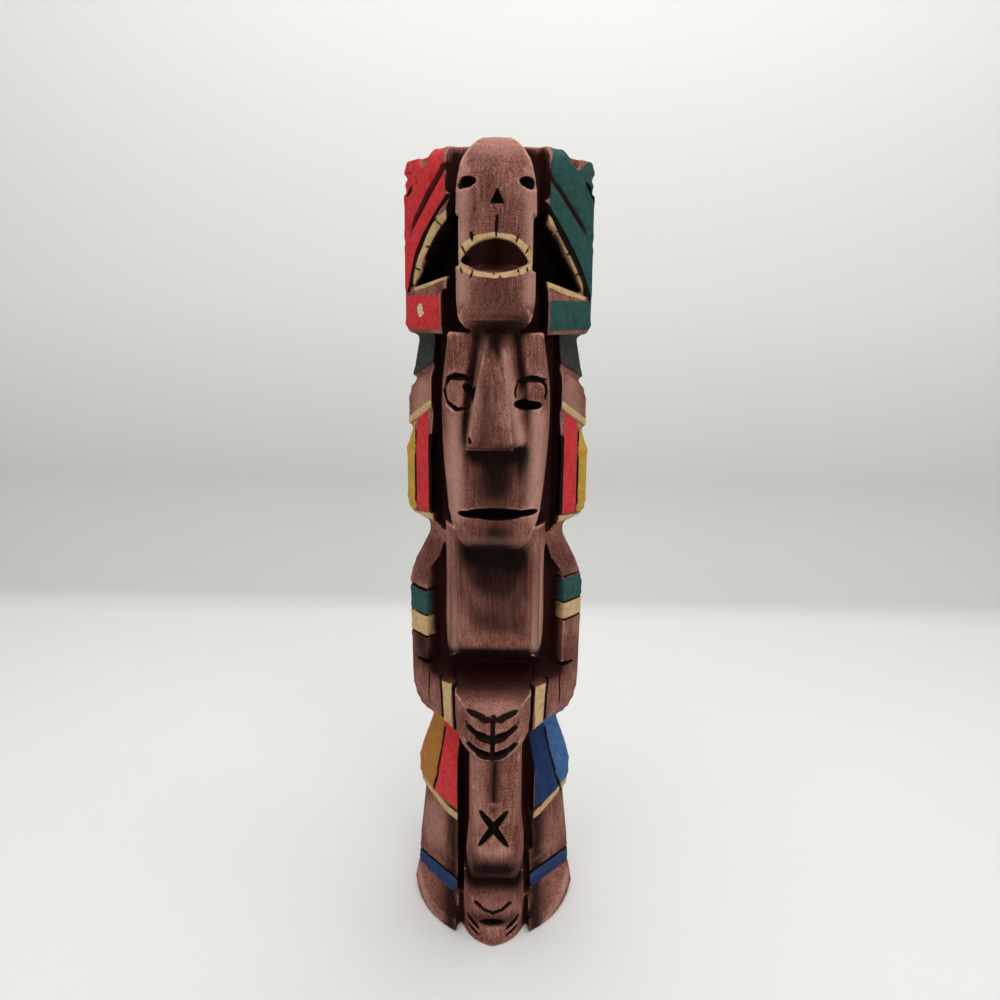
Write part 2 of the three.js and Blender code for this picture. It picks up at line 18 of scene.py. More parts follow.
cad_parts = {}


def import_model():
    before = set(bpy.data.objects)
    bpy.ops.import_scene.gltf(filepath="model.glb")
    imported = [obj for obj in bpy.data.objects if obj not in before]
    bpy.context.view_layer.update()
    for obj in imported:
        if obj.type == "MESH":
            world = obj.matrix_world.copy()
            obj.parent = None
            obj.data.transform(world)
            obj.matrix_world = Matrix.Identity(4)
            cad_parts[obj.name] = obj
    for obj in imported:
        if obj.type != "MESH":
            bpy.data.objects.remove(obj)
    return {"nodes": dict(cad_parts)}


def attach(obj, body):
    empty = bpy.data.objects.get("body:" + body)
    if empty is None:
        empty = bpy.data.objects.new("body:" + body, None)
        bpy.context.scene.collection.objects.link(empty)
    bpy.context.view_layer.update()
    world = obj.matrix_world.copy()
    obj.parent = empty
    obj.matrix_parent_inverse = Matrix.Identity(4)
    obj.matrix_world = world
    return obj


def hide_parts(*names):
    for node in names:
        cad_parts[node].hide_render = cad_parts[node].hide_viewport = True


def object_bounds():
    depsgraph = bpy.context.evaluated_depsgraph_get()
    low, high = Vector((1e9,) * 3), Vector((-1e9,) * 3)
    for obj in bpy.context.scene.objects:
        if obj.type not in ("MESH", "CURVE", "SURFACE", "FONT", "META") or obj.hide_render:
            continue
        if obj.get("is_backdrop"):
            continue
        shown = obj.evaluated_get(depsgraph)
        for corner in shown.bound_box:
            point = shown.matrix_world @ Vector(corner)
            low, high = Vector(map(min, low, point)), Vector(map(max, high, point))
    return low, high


LOG = logging.getLogger("totem_pole")
MM = 0.001
NODE = "totem_pole"
BODY = "root"
BACK_REACH = 35.2  # from the log's axis to the back of its widest ring
SQRT_HALF = math.sqrt(0.5)
OVERLAP = 1.08  # how far each stretch of a groove runs past its ends
FLAT_RATIO = 1.026  # |x| + reach of the flat front faces, over the log's radius

FACE_SPAN = 35.5  # |x| + reach of those faces at the arms
HEAD_SPAN = 35.4  # and at the beast head
FOOT_MIDDLE = 0.9  # x of the middle of the ridge and of the lowest mask
HEM_TOP = 54.9  # where the skirt's paint ends and its gold hem begins
HAIR_SPLIT = 31.3  # where the line between the hair's strips runs, across the flat face

# Levels of the log's own surface: height and radius, in millimetres.
PROFILE = np.array([
    (0.0, 34.3), (6.5, 34.4), (11.0, 33.2), (26.0, 32.3), (49.0, 29.8), (51.5, 31.2), (57.0, 32.2),
    (64.0, 32.2), (70.0, 30.6), (82.0, 26.4), (88.6, 31.0), (98.0, 34.2), (104.0, 34.6), (144.0, 34.8),
    (153.0, 32.2), (164.3, 26.4), (170.5, 30.0), (174.8, 34.5), (178.5, 35.2), (198.0, 35.1),
    (206.5, 32.3), (207.5, 34.2), (217.5, 33.8), (224.8, 30.2), (225.8, 32.1), (240.5, 29.4),
    (241.7, 33.1), (244.5, 34.6), (297.0, 34.0), (303.4, 29.0),
])  # fmt: skip

Point = tuple[float, float, float]
Spot = tuple[float, float]
Colour = tuple[int, int, int]


class Side(Enum):
    """The two sides of the pole, as the viewer sees them."""

    LEFT = -1
    RIGHT = 1


class Tool(Enum):
    """The carver's tools that leave a mark of their own."""

    GOUGE = "gouge"
    KNIFE = "knife"
    VEINER = "veiner"


def linear(colour: Colour) -> tuple[float, float, float, float]:
    """Turns a colour as it is seen, 0 to 255, into the linear colour that a shader takes.

    Args:
        colour: Red, green and blue from 0 to 255.

    Returns:
        Linear red, green, blue and a full alpha.
    """
    parts = [c / 255 for c in colour]
    parts = [c / 12.92 if c <= 0.04045 else ((c + 0.055) / 1.055) ** 2.4 for c in parts]
    return (parts[0], parts[1], parts[2], 1.0)


def deselect_all() -> None:
    """Leaves no object selected."""
    bpy.ops.object.select_all(action="DESELECT")


def activate(thing: bpy.types.Object) -> None:
    """Makes one object the only selected one, and the active one.

    Args:
        thing: The object.
    """
    deselect_all()
    thing.select_set(True)
    bpy.context.view_layer.objects.active = thing


def apply_modifier(thing: bpy.types.Object, kind: str, **settings: object) -> None:
    """Adds a modifier to an object and applies it.

    Args:
        thing: The object.
        kind: The modifier's type.
        **settings: The modifier's settings by name.
    """
    activate(thing)
    modifier = thing.modifiers.new(kind.lower(), kind)
    for name, value in settings.items():
        setattr(modifier, name, value)
    bpy.ops.object.modifier_apply(modifier=modifier.name)


# ---- Cuts ----


@dataclass(frozen=True)
class Cut:
    """One stroke of a tool, from start to end in the log's millimetres."""

    tool: Tool
    start: Point
    end: Point
    width: float
    depth: float
    out: Point = (0.0, -1.0, 0.0)
    stretch: float = 1.0


@dataclass
class Toolbox:
    """Makes each tool's shape once and places a copy of it for every cut."""

    axis_y: float
    shapes: dict[Tool, bpy.types.Mesh] = field(default_factory=dict)

    def forge(self) -> None:
        """Makes the three tool shapes, each reaching one unit every way from its middle."""
        upright = (math.pi / 2, 0, 0)
        for tool in Tool:
            deselect_all()
            if tool is Tool.VEINER:
                bpy.ops.mesh.primitive_cylinder_add(vertices=4, radius=1, depth=2, rotation=upright)
            else:
                sides = 12 if tool is Tool.GOUGE else 4
                bpy.ops.mesh.primitive_uv_sphere_add(
                    segments=sides, ring_count=10, radius=1, rotation=upright
                )
            blank = bpy.context.object
            bpy.ops.object.transform_apply(rotation=True)
            self.shapes[tool] = blank.data.copy()
            bpy.data.objects.remove(blank)

    def place(self, point: Point) -> Vector:
        """The place in the frame of a point given from the log's axis."""
        x, reach, z = point
        return Vector((x * MM, self.axis_y - reach * MM, z * MM))

    def stroke(self, cut: Cut) -> bpy.types.Object:
        """Places one tool shape along a cut.

        Args:
            cut: The stroke.

        Returns:
            The placed shape, ready to be taken out of the wood.
        """
        start, end = self.place(cut.start), self.place(cut.end)
        along = (end - start) * 0.5 * cut.stretch
        across = along.cross(Vector(cut.out)).normalized()
        outward = across.cross(along).normalized()
        matrix = Matrix.Identity(4)
        columns = (across * cut.width * MM / 2, along, outward * cut.depth * MM)
        for i, column in enumerate(columns):
            matrix.col[i][:3] = column
        matrix.col[3][:3] = (start + end) / 2
        mesh = self.shapes[cut.tool].copy()
        mesh.transform(matrix)
        thing = bpy.data.objects.new("stroke", mesh)
        bpy.context.scene.collection.objects.link(thing)
        return thing

    def bundle(self, cuts: Iterable[Cut]) -> bpy.types.Object:
        """Joins the shapes of many cuts into one object.

        Args:
            cuts: The strokes.

        Returns:
            One object that holds all of them.
        """
        strokes = [self.stroke(cut) for cut in cuts]
        activate(strokes[0])
        for stroke in strokes:
            stroke.select_set(True)
        bpy.ops.object.join()
        bpy.ops.object.mode_set(mode="EDIT")
        bpy.ops.mesh.select_all(action="SELECT")
        bpy.ops.mesh.normals_make_consistent(inside=False)
        bpy.ops.object.mode_set(mode="OBJECT")
        return bpy.context.object


def knife(start: Point, end: Point, width: float, depth: float, out: Point = (0, -1, 0)) -> Cut:
    """A V cut that runs out at both ends."""
    return Cut(Tool.KNIFE, start, end, width, depth, out)


def gouge(start: Point, end: Point, width: float, depth: float, out: Point = (0, -1, 0)) -> Cut:
    """A scooped cut that runs out at both ends."""
    return Cut(Tool.GOUGE, start, end, width, depth, out)


def veiner(points: Sequence[Point], width: float, depth: float, out: Point = (0, -1, 0)) -> list[Cut]:
    """A V groove of even width through a run of points, its stretches a little overlapped."""
    return [Cut(Tool.VEINER, a, b, width, depth, out, OVERLAP) for a, b in zip(points, points[1:])]


def on_face(side: Side, x: float, z: float, inset: float = 0.0, span: float = FACE_SPAN) -> Point:
    """A point of one of the two flat front faces.

    Args:
        side: The side of the pole.
        x: Distance from the middle, measured on the face.
        z: Height.
        inset: Depth under the face.
        span: What |x| and reach add up to on this stretch of the face.

    Returns:
        The point.
    """
    return (side.value * (x - inset * SQRT_HALF), span - x - inset * SQRT_HALF, z)


def face_out(side: Side) -> Point:
    """The direction out of a flat front face."""
    return (side.value, -1.0, 0.0)


def face_groove(
    side: Side, spots: Sequence[Spot], width: float, depth: float, span: float = FACE_SPAN
) -> list[Cut]:
    """A V groove of even width over a flat front face.

    Args:
        side: The side of the pole.
        spots: Points along it, each across the face and up.
        width: Its width.
        depth: Its depth.
        span: What |x| and reach add up to on this stretch of the face.

    Returns:
        The strokes.
    """
    return veiner([on_face(side, x, z, 0, span) for x, z in spots], width, depth, face_out(side))


# Lines of the two side mouths, each spot across the flat face and up.
LIP_LINES = {
    Side.LEFT: [
        (15.0, 289.4), (17.3, 286.8), (20.3, 283.4), (23.5, 279.2),
        (26.8, 274.6), (29.7, 268.7), (31.5, 262.9), (33.1, 256.6),
    ],
    Side.RIGHT: [
        (14.6, 287.4), (17.4, 283.6), (20.7, 279.2), (24.1, 274.3),
        (27.2, 269.3), (30.1, 264.0), (32.6, 258.6), (34.0, 253.8),
    ],
}  # fmt: skip
UPPER_TEETH = {
    Side.LEFT: [(17.6, 281.6), (20.9, 278.6), (24.2, 273.8), (27.4, 268.4), (30.0, 261.6), (31.0, 259.0)],
    Side.RIGHT: [(17.8, 279.9), (19.8, 276.0), (23.5, 269.9), (27.6, 263.4), (30.0, 259.4), (31.0, 257.0)],
}
LOWER_TEETH = {
    Side.LEFT: [(30.4, 257.2), (25.8, 258.6), (18.2, 261.0)],
    Side.RIGHT: [(31.6, 254.4), (24.6, 256.3), (17.0, 259.2)],
}
BANDS = {
    Side.LEFT: [(18.4, 296.6), (23.7, 289.6), (27.4, 283.8), (31.7, 277.3), (34.6, 272.6)],
    Side.RIGHT: [(16.8, 294.2), (21.8, 288.9), (26.0, 283.7), (30.3, 278.3), (35.0, 272.6)],
}
NOTCHES = {
    Side.LEFT: [
        ((21.8, 280.4), (19.6, 276.6)),
        ((25.9, 271.6), (23.3, 269.4)),
        ((30.0, 264.4), (27.2, 262.4)),
    ],
    Side.RIGHT: [
        ((21.9, 277.1), (18.7, 272.8)),
        ((26.7, 270.7), (23.0, 266.2)),
        ((29.7, 263.6), (27.9, 260.6)),
    ],
}
# Notches in the gold lips of the front mouth: start, end, width and depth.
LIP_NOTCHES = [
    ((-8.0, 34.8, 275.4), (-7.3, 35.2, 270.8), 1.1, 1.2),
    ((0.1, 35.3, 277.4), (0.4, 35.3, 272.2), 0.8, 1.1),
    ((7.8, 34.7, 273.8), (6.5, 35.0, 270.6), 0.7, 1.0),
    ((-11.3, 32.6, 270.6), (-9.5, 34.0, 267.1), 0.7, 1.1),
    ((11.6, 32.6, 270.6), (9.6, 34.0, 267.4), 0.7, 1.1),
    ((-11.5, 32.8, 263.4), (-10.6, 33.6, 260.8), 0.7, 1.0),
    ((-7.0, 35.0, 262.2), (-8.4, 34.6, 259.2), 0.8, 1.0),
    ((-0.4, 35.5, 262.2), (-0.3, 35.4, 258.0), 0.9, 1.0),
    ((7.2, 34.9, 262.8), (8.0, 34.6, 260.4), 0.6, 0.9),
    ((10.1, 34.0, 263.4), (10.7, 33.4, 261.6), 0.6, 0.9),
]
# The gold lips of the front mouth, each spot from the middle and up.
UPPER_LIP = [
    (-11.8, 266.8), (-9.6, 269.8), (-5.5, 272.0), (0, 273.2), (5.5, 272.2), (9.4, 269.6), (11.8, 266.2),
]  # fmt: skip
LOWER_LIP = [(-12.2, 263.6), (-8.0, 261.4), (0, 260.4), (8.0, 261.6), (12.6, 264.2)]
# Lines at a panel's worn corner: start and end on the flat face, and width.
CORNER_LINES = {
    Side.LEFT: [((28.2, 293.6), (33.4, 288.4), 1.5), ((28.2, 293.6), (33.0, 297.2), 0.8)],
    Side.RIGHT: [((30.0, 294.2), (35.2, 287.0), 1.7)],
}
# Levels of the armbands: top of the teal, the line between them, foot of the gold.
ARM_BANDS = {Side.LEFT: (142.0, 131.4, 122.0), Side.RIGHT: (148.4, 138.0, 130.6)}
# The line between two feathers, across the flat face: at the waist and at the hem.
FEATHER_SPLIT = {Side.LEFT: (20.6, 25.4), Side.RIGHT: (21.2, 28.8)}


@dataclass
class BeastCuts:
    """Cuts of the beast head."""

    tops: tuple[tuple[Side, float, float], ...] = ((Side.LEFT, 286.6, 256.0), (Side.RIGHT, 284.6, 254.5))
    teeth_inset: float = 1.35
    foot_bar: float = 14.6
    eye_width: float = 3.5
    eye_middle: float = 0.6

    def filled(self) -> list[Cut]:
        """Strips that bring the upper teeth out to the flat face, and bars from the feet to the lowest mask.

        Returns:
            The strips to add before anything is cut.
        """
        strips = []
        for side, top, low in self.tops:
            ends = ((17.8, top), (33.4, low + 1.0))
            sunk = [on_face(side, x, z, self.teeth_inset, HEAD_SPAN) for x, z in ends]
            strips += veiner(sunk, 2.9, 1.3, face_out(side))
            x = side.value * self.foot_bar + FOOT_MIDDLE
            strips += veiner([(x, 21.5, 0.8), (x, 19.5, 12.0)], 5.0, 6.0)
        return strips

    def bands(self) -> list[Cut]:
        """The broad shallow groove across each panel.

        Returns:
            The strokes to take out of the wood.
        """
        return [cut for side in Side for cut in face_groove(side, BANDS[side], 2.0, 1.4, HEAD_SPAN)]

    def carved(self) -> list[Cut]:
        """Teeth, the notches in the gold lips and the bowed lip lines of the side mouths.

        Returns:
            The strokes to take out of the wood.
        """
        middle = [knife(*notch) for notch in LIP_NOTCHES]
        sides = [
            knife(on_face(side, *a, 0.4), on_face(side, *b, 0.4), 0.8, 1.3, face_out(side))
            for side, pairs in NOTCHES.items()
            for a, b in pairs
        ]
        for side in Side:
            sides += face_groove(side, LIP_LINES[side], 1.6, 1.9, HEAD_SPAN)
        return middle + sides

    def inked(self) -> list[Cut]:
        """Eyes, lip crease and the lines at the panels' worn corners.

        Returns:
            The strokes to darken.
        """
        eyes, corners = [], []
        for side in Side:
            outer = (self.eye_middle + side.value * 13.0, 31.4, 288.2)
            inner = (self.eye_middle + side.value * 7.2, 34.4, 289.4)
            eyes.append(gouge(outer, inner, self.eye_width, 3.2, (side.value / 2, -1, 0)))
            for start, end, width in CORNER_LINES[side]:
                ends = [on_face(side, x, z, 0, 35) for x, z in (start, end)]
                corners.append(knife(*ends, width, 2, face_out(side)))
        crease = gouge((0.5, 35.4, 273), (0.5, 35.4, 281), 0.9, 1.2)
        return eyes + corners + [crease]


@dataclass
class MaskCuts:
    """Cuts of the long-faced mask."""

    eye_middle: float = 12.7
    eye_level: float = 222.4
    eye_radius: float = 5.4

    def eye_line(self, side: Side, height: float, first: float, last: float) -> list[Point]:
        """The line round an eye.

        Args:
            side: The eye.
            height: Half the height of the line.
            first: Where it starts, in degrees from the outer corner.
            last: Where it ends.

        Returns:
            Points along it.
        """
        points = []
        for angle in np.radians(np.linspace(first, last, 10)):
            x = self.eye_middle + self.eye_radius * math.cos(angle)
            reach = 29.9 - 8.9 * (max(x - 7, 0) / 11.6) ** 2
            points.append((side.value * x, reach, self.eye_level + height * math.sin(angle)))
        return points

    def carved(self) -> list[Cut]:
        """The mouth's pointed ends.

        Returns:
            The strokes to take out of the wood.
        """
        return [knife((-13.4, 28.4, 179.3), (16.2, 26.2, 180.1), 4.0, 4.6)]

    def inked(self) -> list[Cut]:
        """Eyes, mouth and nostril.

        Returns:
            The strokes to darken.
        """
        left, right = (-0.45, -1.0, 0.0), (0.45, -1.0, 0.0)
        return [
            *veiner(self.eye_line(Side.LEFT, 6.2, -40, 320), 1.2, 1.9, left),
            *veiner(self.eye_line(Side.RIGHT, 5.4, -25, 190), 1.2, 1.9, right),
            gouge((-17.2, 23.8, 227.2), (-6.6, 29.2, 227.2), 2.0, 2.6, left),
            gouge((7.2, 28.3, 226.4), (18.2, 22.4, 226.6), 1.8, 2.6, right),
            knife((-10.8, 28.6, 225.6), (-5.8, 29.6, 218.6), 2.8, 2.6, left),
            gouge((6.0, 29.9, 218.8), (16.4, 24.3, 217.8), 3.4, 3.2, right),
            gouge((-10.9, 31.2, 180), (12.9, 31.2, 179.8), 4.4, 5.2),
            gouge((-9.9, 36.4, 208.9), (-7.5, 37.8, 206.1), 1.8, 1.5),
        ]


@dataclass
class HandCuts:
    """The bold strokes of the folded hands."""

    levels: tuple[float, ...] = (105.0, 98.2, 91.0)
    crease: float = 0.4

    def inked(self) -> list[Cut]:
        """The middle crease, and three strokes on each side that are broadest beside it.

        Returns:
            The strokes to darken.
        """
        strokes = veiner([(self.crease, 34.0, 103.5), (self.crease, 36.9, 83)], 1.7, 2.4)
        for side in Side:
            lean = (side.value * 0.6, -1.0, 0.2)
            for level in self.levels:
                inner = (side.value * -1.2 + self.crease, 36.9, level - 5.2)
                tip, bend = (side.value * 11.0, 32.3, level - 1.0), (side.value * 6.4, 35.4, level - 3.9)
                strokes += [knife(inner, tip, 2.3, 3.2, lean), knife(inner, bend, 2.2, 2.8, lean)]
        return strokes


@dataclass
class ArmCuts:
    """Lines of the arms: elbow folds, band edges and both sides of the wristbands."""

    band_widths: tuple[float, ...] = (1.5, 0.8, 0.9)

    def inked(self) -> list[Cut]:
        """Lines that are packed already.

        Returns:
            The strokes to darken.
        """
        strokes = []
        for side in Side:
            s, out = side.value, face_out(side)
            for level, width in zip(ARM_BANDS[side], self.band_widths):
                strokes += face_groove(side, [(23.4, level), (36, level)], width, 1.3)
                strokes += veiner([(s * 23.8, 8.6, level), (s * 24, 5.3, level)], width, 1.3, (-s, -1, 0))
                strokes += veiner([(s * 35, 3, level), (s * 33.6, -9, level)], width, 1.3, (s, 0, 0))
            strokes += [gouge(on_face(side, 32.4, 110.8), on_face(side, 18.5, 112.6), 2.2, 2.6, out)]
            strokes += face_groove(side, [(21.6, 108), (20.4, 85)], 1.4, 1.6)
            strokes += veiner([(s * 15.4, 20.2, 109), (s * 14.4, 21.4, 84)], 2.4, 3)
            strokes += face_groove(side, [(26.4, 107.5), (27.2, 92)], 0.8, 1.0)
        return strokes


@dataclass
class LowerCuts:
    """Lines of the hair, the skirt, the ankles, the ridge and the mask at the foot."""

    back_turns: tuple[float, ...] = (20.0, 65.0)
    hair_levels: tuple[float, ...] = (204.0, 198.0, 188.0, 178.5, 173.5)
    hair_spans: tuple[Spot, ...] = ((205.0, 33.6), (198.0, 36.0), (173.5, 35.6))
    skirt_levels: tuple[float, ...] = (82.0, 70.0, 64.0, 57.0, 52.5)
    ankles: tuple[tuple[Side, float], ...] = ((Side.LEFT, 16.6), (Side.RIGHT, 19.4))

    def carved(self) -> list[Cut]:
        """Upright lines round the back, between the hair's strips and the skirt's feathers.

        Returns:
            The strokes to take out of the wood.
        """
        strokes = []
        for side in Side:
            for angle in (math.radians(turn) for turn in self.back_turns):
                across, back = side.value * math.cos(angle), math.sin(angle)
                for heights in (self.hair_levels, self.skirt_levels):
                    radii = np.interp(heights, *PROFILE.T)
                    points = [(across * radius, -back * radius, z) for radius, z in zip(radii, heights)]
                    strokes += veiner(points, 1.5, 1.3, (across, back, 0))
        return strokes

    def inked(self) -> list[Cut]:
        """Lines that are packed already.

        Returns:
            The strokes to darken.
        """
        strokes = []
        for side, ankle in self.ankles:
            s, middle, out = side.value, FOOT_MIDDLE, face_out(side)
            hair = [on_face(side, HAIR_SPLIT, z, 0, span) for z, span in self.hair_spans]
            strokes += veiner(hair, 1.1, 1.4, out)
            heights = (81.0, 70.0, 60.0, 49.0)
            spans = np.interp(heights, *PROFILE.T) * FLAT_RATIO
            places = np.interp(heights, (49.0, 81.0), FEATHER_SPLIT[side][::-1])
            feather = [on_face(side, x, z, 0, span) for x, z, span in zip(places, heights, spans)]
            strokes += veiner(feather, 1.3, 1.4, out)
            strokes += face_groove(side, [(14.5, ankle), (35, ankle)], 1.4, 1.5, 33.8)
            strokes += veiner([(s * 33.4, 3, ankle), (s * 31.4, -10, ankle)], 1.4, 1.5, (s, 0, 0))
            strokes += [knife((middle + s * 5.7, 32.4, 60.4), (middle - s * 6.1, 34, 44.4), 3.2, 3.8)]
            cheek = (s * 0.7, -1, 0.3)
            strokes += [
                gouge((middle + s * 5.2, 34, 6.6), (middle + s * 11.8, 29, 9.4), 2.4, 2, cheek),
                gouge((middle + s * 5.2, 34.4, 3.2), (middle + s * 11.2, 29.6, 5.4), 1.6, 1.6, cheek),
            ]
        places = (-7, -3.6, 0, 3.6, 7)
        smile = [(FOOT_MIDDLE + x, 33.6 - x**2 * 0.035, 13.6 + x**2 * 0.08) for x in places]
        strokes += veiner(smile, 1.2, 1.6, (0, -1, 0.3))
        return strokes + [gouge((-4.6, 34.4, 9.6), (6.2, 34.4, 9.6), 3.2, 3)]


# ---- The carved piece ----


@dataclass
class Surface:
    """Every vertex of a mesh: its place, its direction, and where it lies on the log."""

    places: np.ndarray
    normals: np.ndarray
    edges: np.ndarray
    axis_y: float

    @classmethod
    def read(cls, mesh: bpy.types.Mesh, axis_y: float) -> "Surface":
        """Reads a mesh.

        Args:
            mesh: The mesh.
            axis_y: Where the log's axis is.

        Returns:
            Its surface.
        """
        places = np.empty(len(mesh.vertices) * 3)
        normals = np.empty(len(mesh.vertices) * 3)
        edges = np.empty(len(mesh.edges) * 2, int)
        mesh.vertices.foreach_get("co", places)
        mesh.vertex_normals.foreach_get("vector", normals)
        mesh.edges.foreach_get("vertices", edges)
        return cls(places.reshape(-1, 3), normals.reshape(-1, 3), edges.reshape(-1, 2), axis_y)

    def __post_init__(self) -> None:
        """Works out each vertex's place on the log, in millimetres."""
        self.x = self.places[:, 0] / MM
        self.reach = (self.axis_y - self.places[:, 1]) / MM
        self.z = self.places[:, 2] / MM
        self.points = np.stack([self.x, self.reach, self.z], axis=1)
        self.side = np.abs(self.x)
        radius = np.interp(self.z, *PROFILE.T)
        span = radius * FLAT_RATIO
        flat_depth = (span - self.side - self.reach) * SQRT_HALF
        self.depth = np.minimum(flat_depth, radius - np.hypot(self.x, self.reach))
        self.along = (self.side - self.reach + span) / 2
        self.inward = np.clip(radius - self.side, 0.0, 11.0) * np.where(self.reach > 0, 1.0, 0.4)

    def blur(self, values: np.ndarray, rounds: int, hold: np.ndarray | float = 0.0) -> np.ndarray:
        """Averages values with those of the neighbouring vertices.

        Args:
            values: One number or one row for each vertex.
            rounds: How often to average.
            hold: How firmly each vertex keeps its own value, 0 to 1.

        Returns:
            The averaged values.
        """
        count = len(values)
        one, other = np.concatenate([self.edges, self.edges[:, ::-1]]).T
        share = 0.6 * (1 - hold) / np.maximum(np.bincount(one, minlength=count), 1)
        flat = values.reshape(count, -1).T.copy()
        for _ in range(rounds):
            for column in flat:
                column += share * np.bincount(one, weights=column[other] - column[one], minlength=count)
        return flat.T.reshape(values.shape)

    def sharpness(self) -> np.ndarray:
        """How far each vertex stands out of its smoothed surroundings, in millimetres."""
        gap = self.places - self.blur(self.places, 12)
        return self.blur(np.einsum("ij,ij->i", gap, self.normals) / MM, 1)

    def hollowness(self, piece: bpy.types.Object, count: int) -> np.ndarray:
        """How much of the open view the surrounding wood hides.

        Args:
            piece: The object that the surface belongs to.
            count: How many rays to send from each vertex.

        Returns:
            A number from 0 to 1 for each vertex.
        """
        tree = BVHTree.FromObject(piece, bpy.context.evaluated_depsgraph_get())
        turns = np.random.default_rng(7).random((count, 2))
        slope, spin = np.sqrt(turns[:, 0]), turns[:, 1] * 2 * math.pi
        rays = np.stack([slope * np.cos(spin), slope * np.sin(spin), np.sqrt(1 - turns[:, 0])], axis=1)
        limit = 16 * MM
        sideways = np.where(np.abs(self.normals[:, :1]) > 0.7, [[0, 1, 0]], [[1, 0, 0]])
        first = np.cross(self.normals, sideways)
        first /= np.linalg.norm(first, axis=1)[:, None]
        second = np.cross(self.normals, first)
        starts = (self.places + self.normals * 0.05 * MM).tolist()
        hidden = np.zeros(len(self.places))
        for ray in rays:
            ways = (first * ray[0] + second * ray[1] + self.normals * ray[2]).tolist()
            hits = [tree.ray_cast(a, b, limit)[3] for a, b in zip(starts, ways)]
            hidden += [0.0 if d is None else 1 - (d / limit) ** 2 for d in hits]
        return self.blur(hidden / count, 3)

    def inside_stroke(self, cut: Cut) -> np.ndarray:
        """How deep inside one stroke of a tool each vertex lies.

        Args:
            cut: The stroke.

        Returns:
            Millimetres, below zero outside.
        """
        start, end = np.array(cut.start), np.array(cut.end)
        length = np.linalg.norm(end - start)
        along = (end - start) / length
        across = np.cross(along, (cut.out[0], -cut.out[1], cut.out[2]))
        across /= np.linalg.norm(across)
        outward = np.cross(across, along)
        offset = self.points - start
        share = np.clip(offset @ along / length, 0, 1)
        half = cut.width / 2
        past = offset @ along - share * length
        off = np.stack([offset @ across / half, offset @ outward / cut.depth, past / half])
        taper = 1.0 if cut.tool is Tool.VEINER else np.sqrt(1 - (2 * share - 1) ** 2)
        return (taper - np.linalg.norm(off, axis=0)) * half

    # Distances on the surface, for painting: above zero inside.

    def line(self, a: Spot, b: Spot) -> np.ndarray:
        """Distance to the left of a line drawn on the flat face.

        Args:
            a: Where it starts, across the face and up.
            b: Where it ends.

        Returns:
            Millimetres, below zero on its right.
        """
        dx, dz = b[0] - a[0], b[1] - a[1]
        return ((self.z - a[1]) * dx - (self.along - a[0]) * dz) / math.hypot(dx, dz)

    def away(self, across: np.ndarray, spots: Sequence[Spot]) -> np.ndarray:
        """Distance from a run of points.

        Args:
            across: Each vertex's place across the pole.
            spots: The points, each across and up.

        Returns:
            The distances.
        """
        nearest = np.full(len(across), 99.0)
        for a, b in zip(spots, spots[1:]):
            dx, dz = b[0] - a[0], b[1] - a[1]
            share = ((across - a[0]) * dx + (self.z - a[1]) * dz) / max(dx * dx + dz * dz, 1e-9)
            share = np.clip(share, 0, 1)
            nearest = np.minimum(nearest, np.hypot(across - a[0] - share * dx, self.z - a[1] - share * dz))
        return nearest


def within(value: np.ndarray, low: float, high: float) -> np.ndarray:
    """Distance inside a range."""
    return np.minimum(value - low, high - value)


def all_of(*areas: np.ndarray) -> np.ndarray:
    """Where areas overlap."""
    return np.minimum.reduce(areas)


def any_of(*areas: np.ndarray) -> np.ndarray:
    """Where at least one of the areas is."""
    return np.maximum.reduce(areas)


def fade(distance: np.ndarray, full: float, none: float) -> np.ndarray:
    """1 up to one distance, 0 from another, soft between them.

    Args:
        distance: The distances.
        full: Up to where the result is 1.
        none: From where it is 0.

    Returns:
        Numbers from 0 to 1.
    """
    share = np.clip((none - distance) / (none - full), 0, 1)
    return share * share * (3 - 2 * share)


@dataclass(frozen=True)
class Patch:
    """A soft patch along a short line in front of the pole: a dark one of sprayed stain and painted shadow,
    a pale one of rubbed-off stain and painted highlight.
    """

    start: Spot
    end: Spot
    reach: float
    strength: float
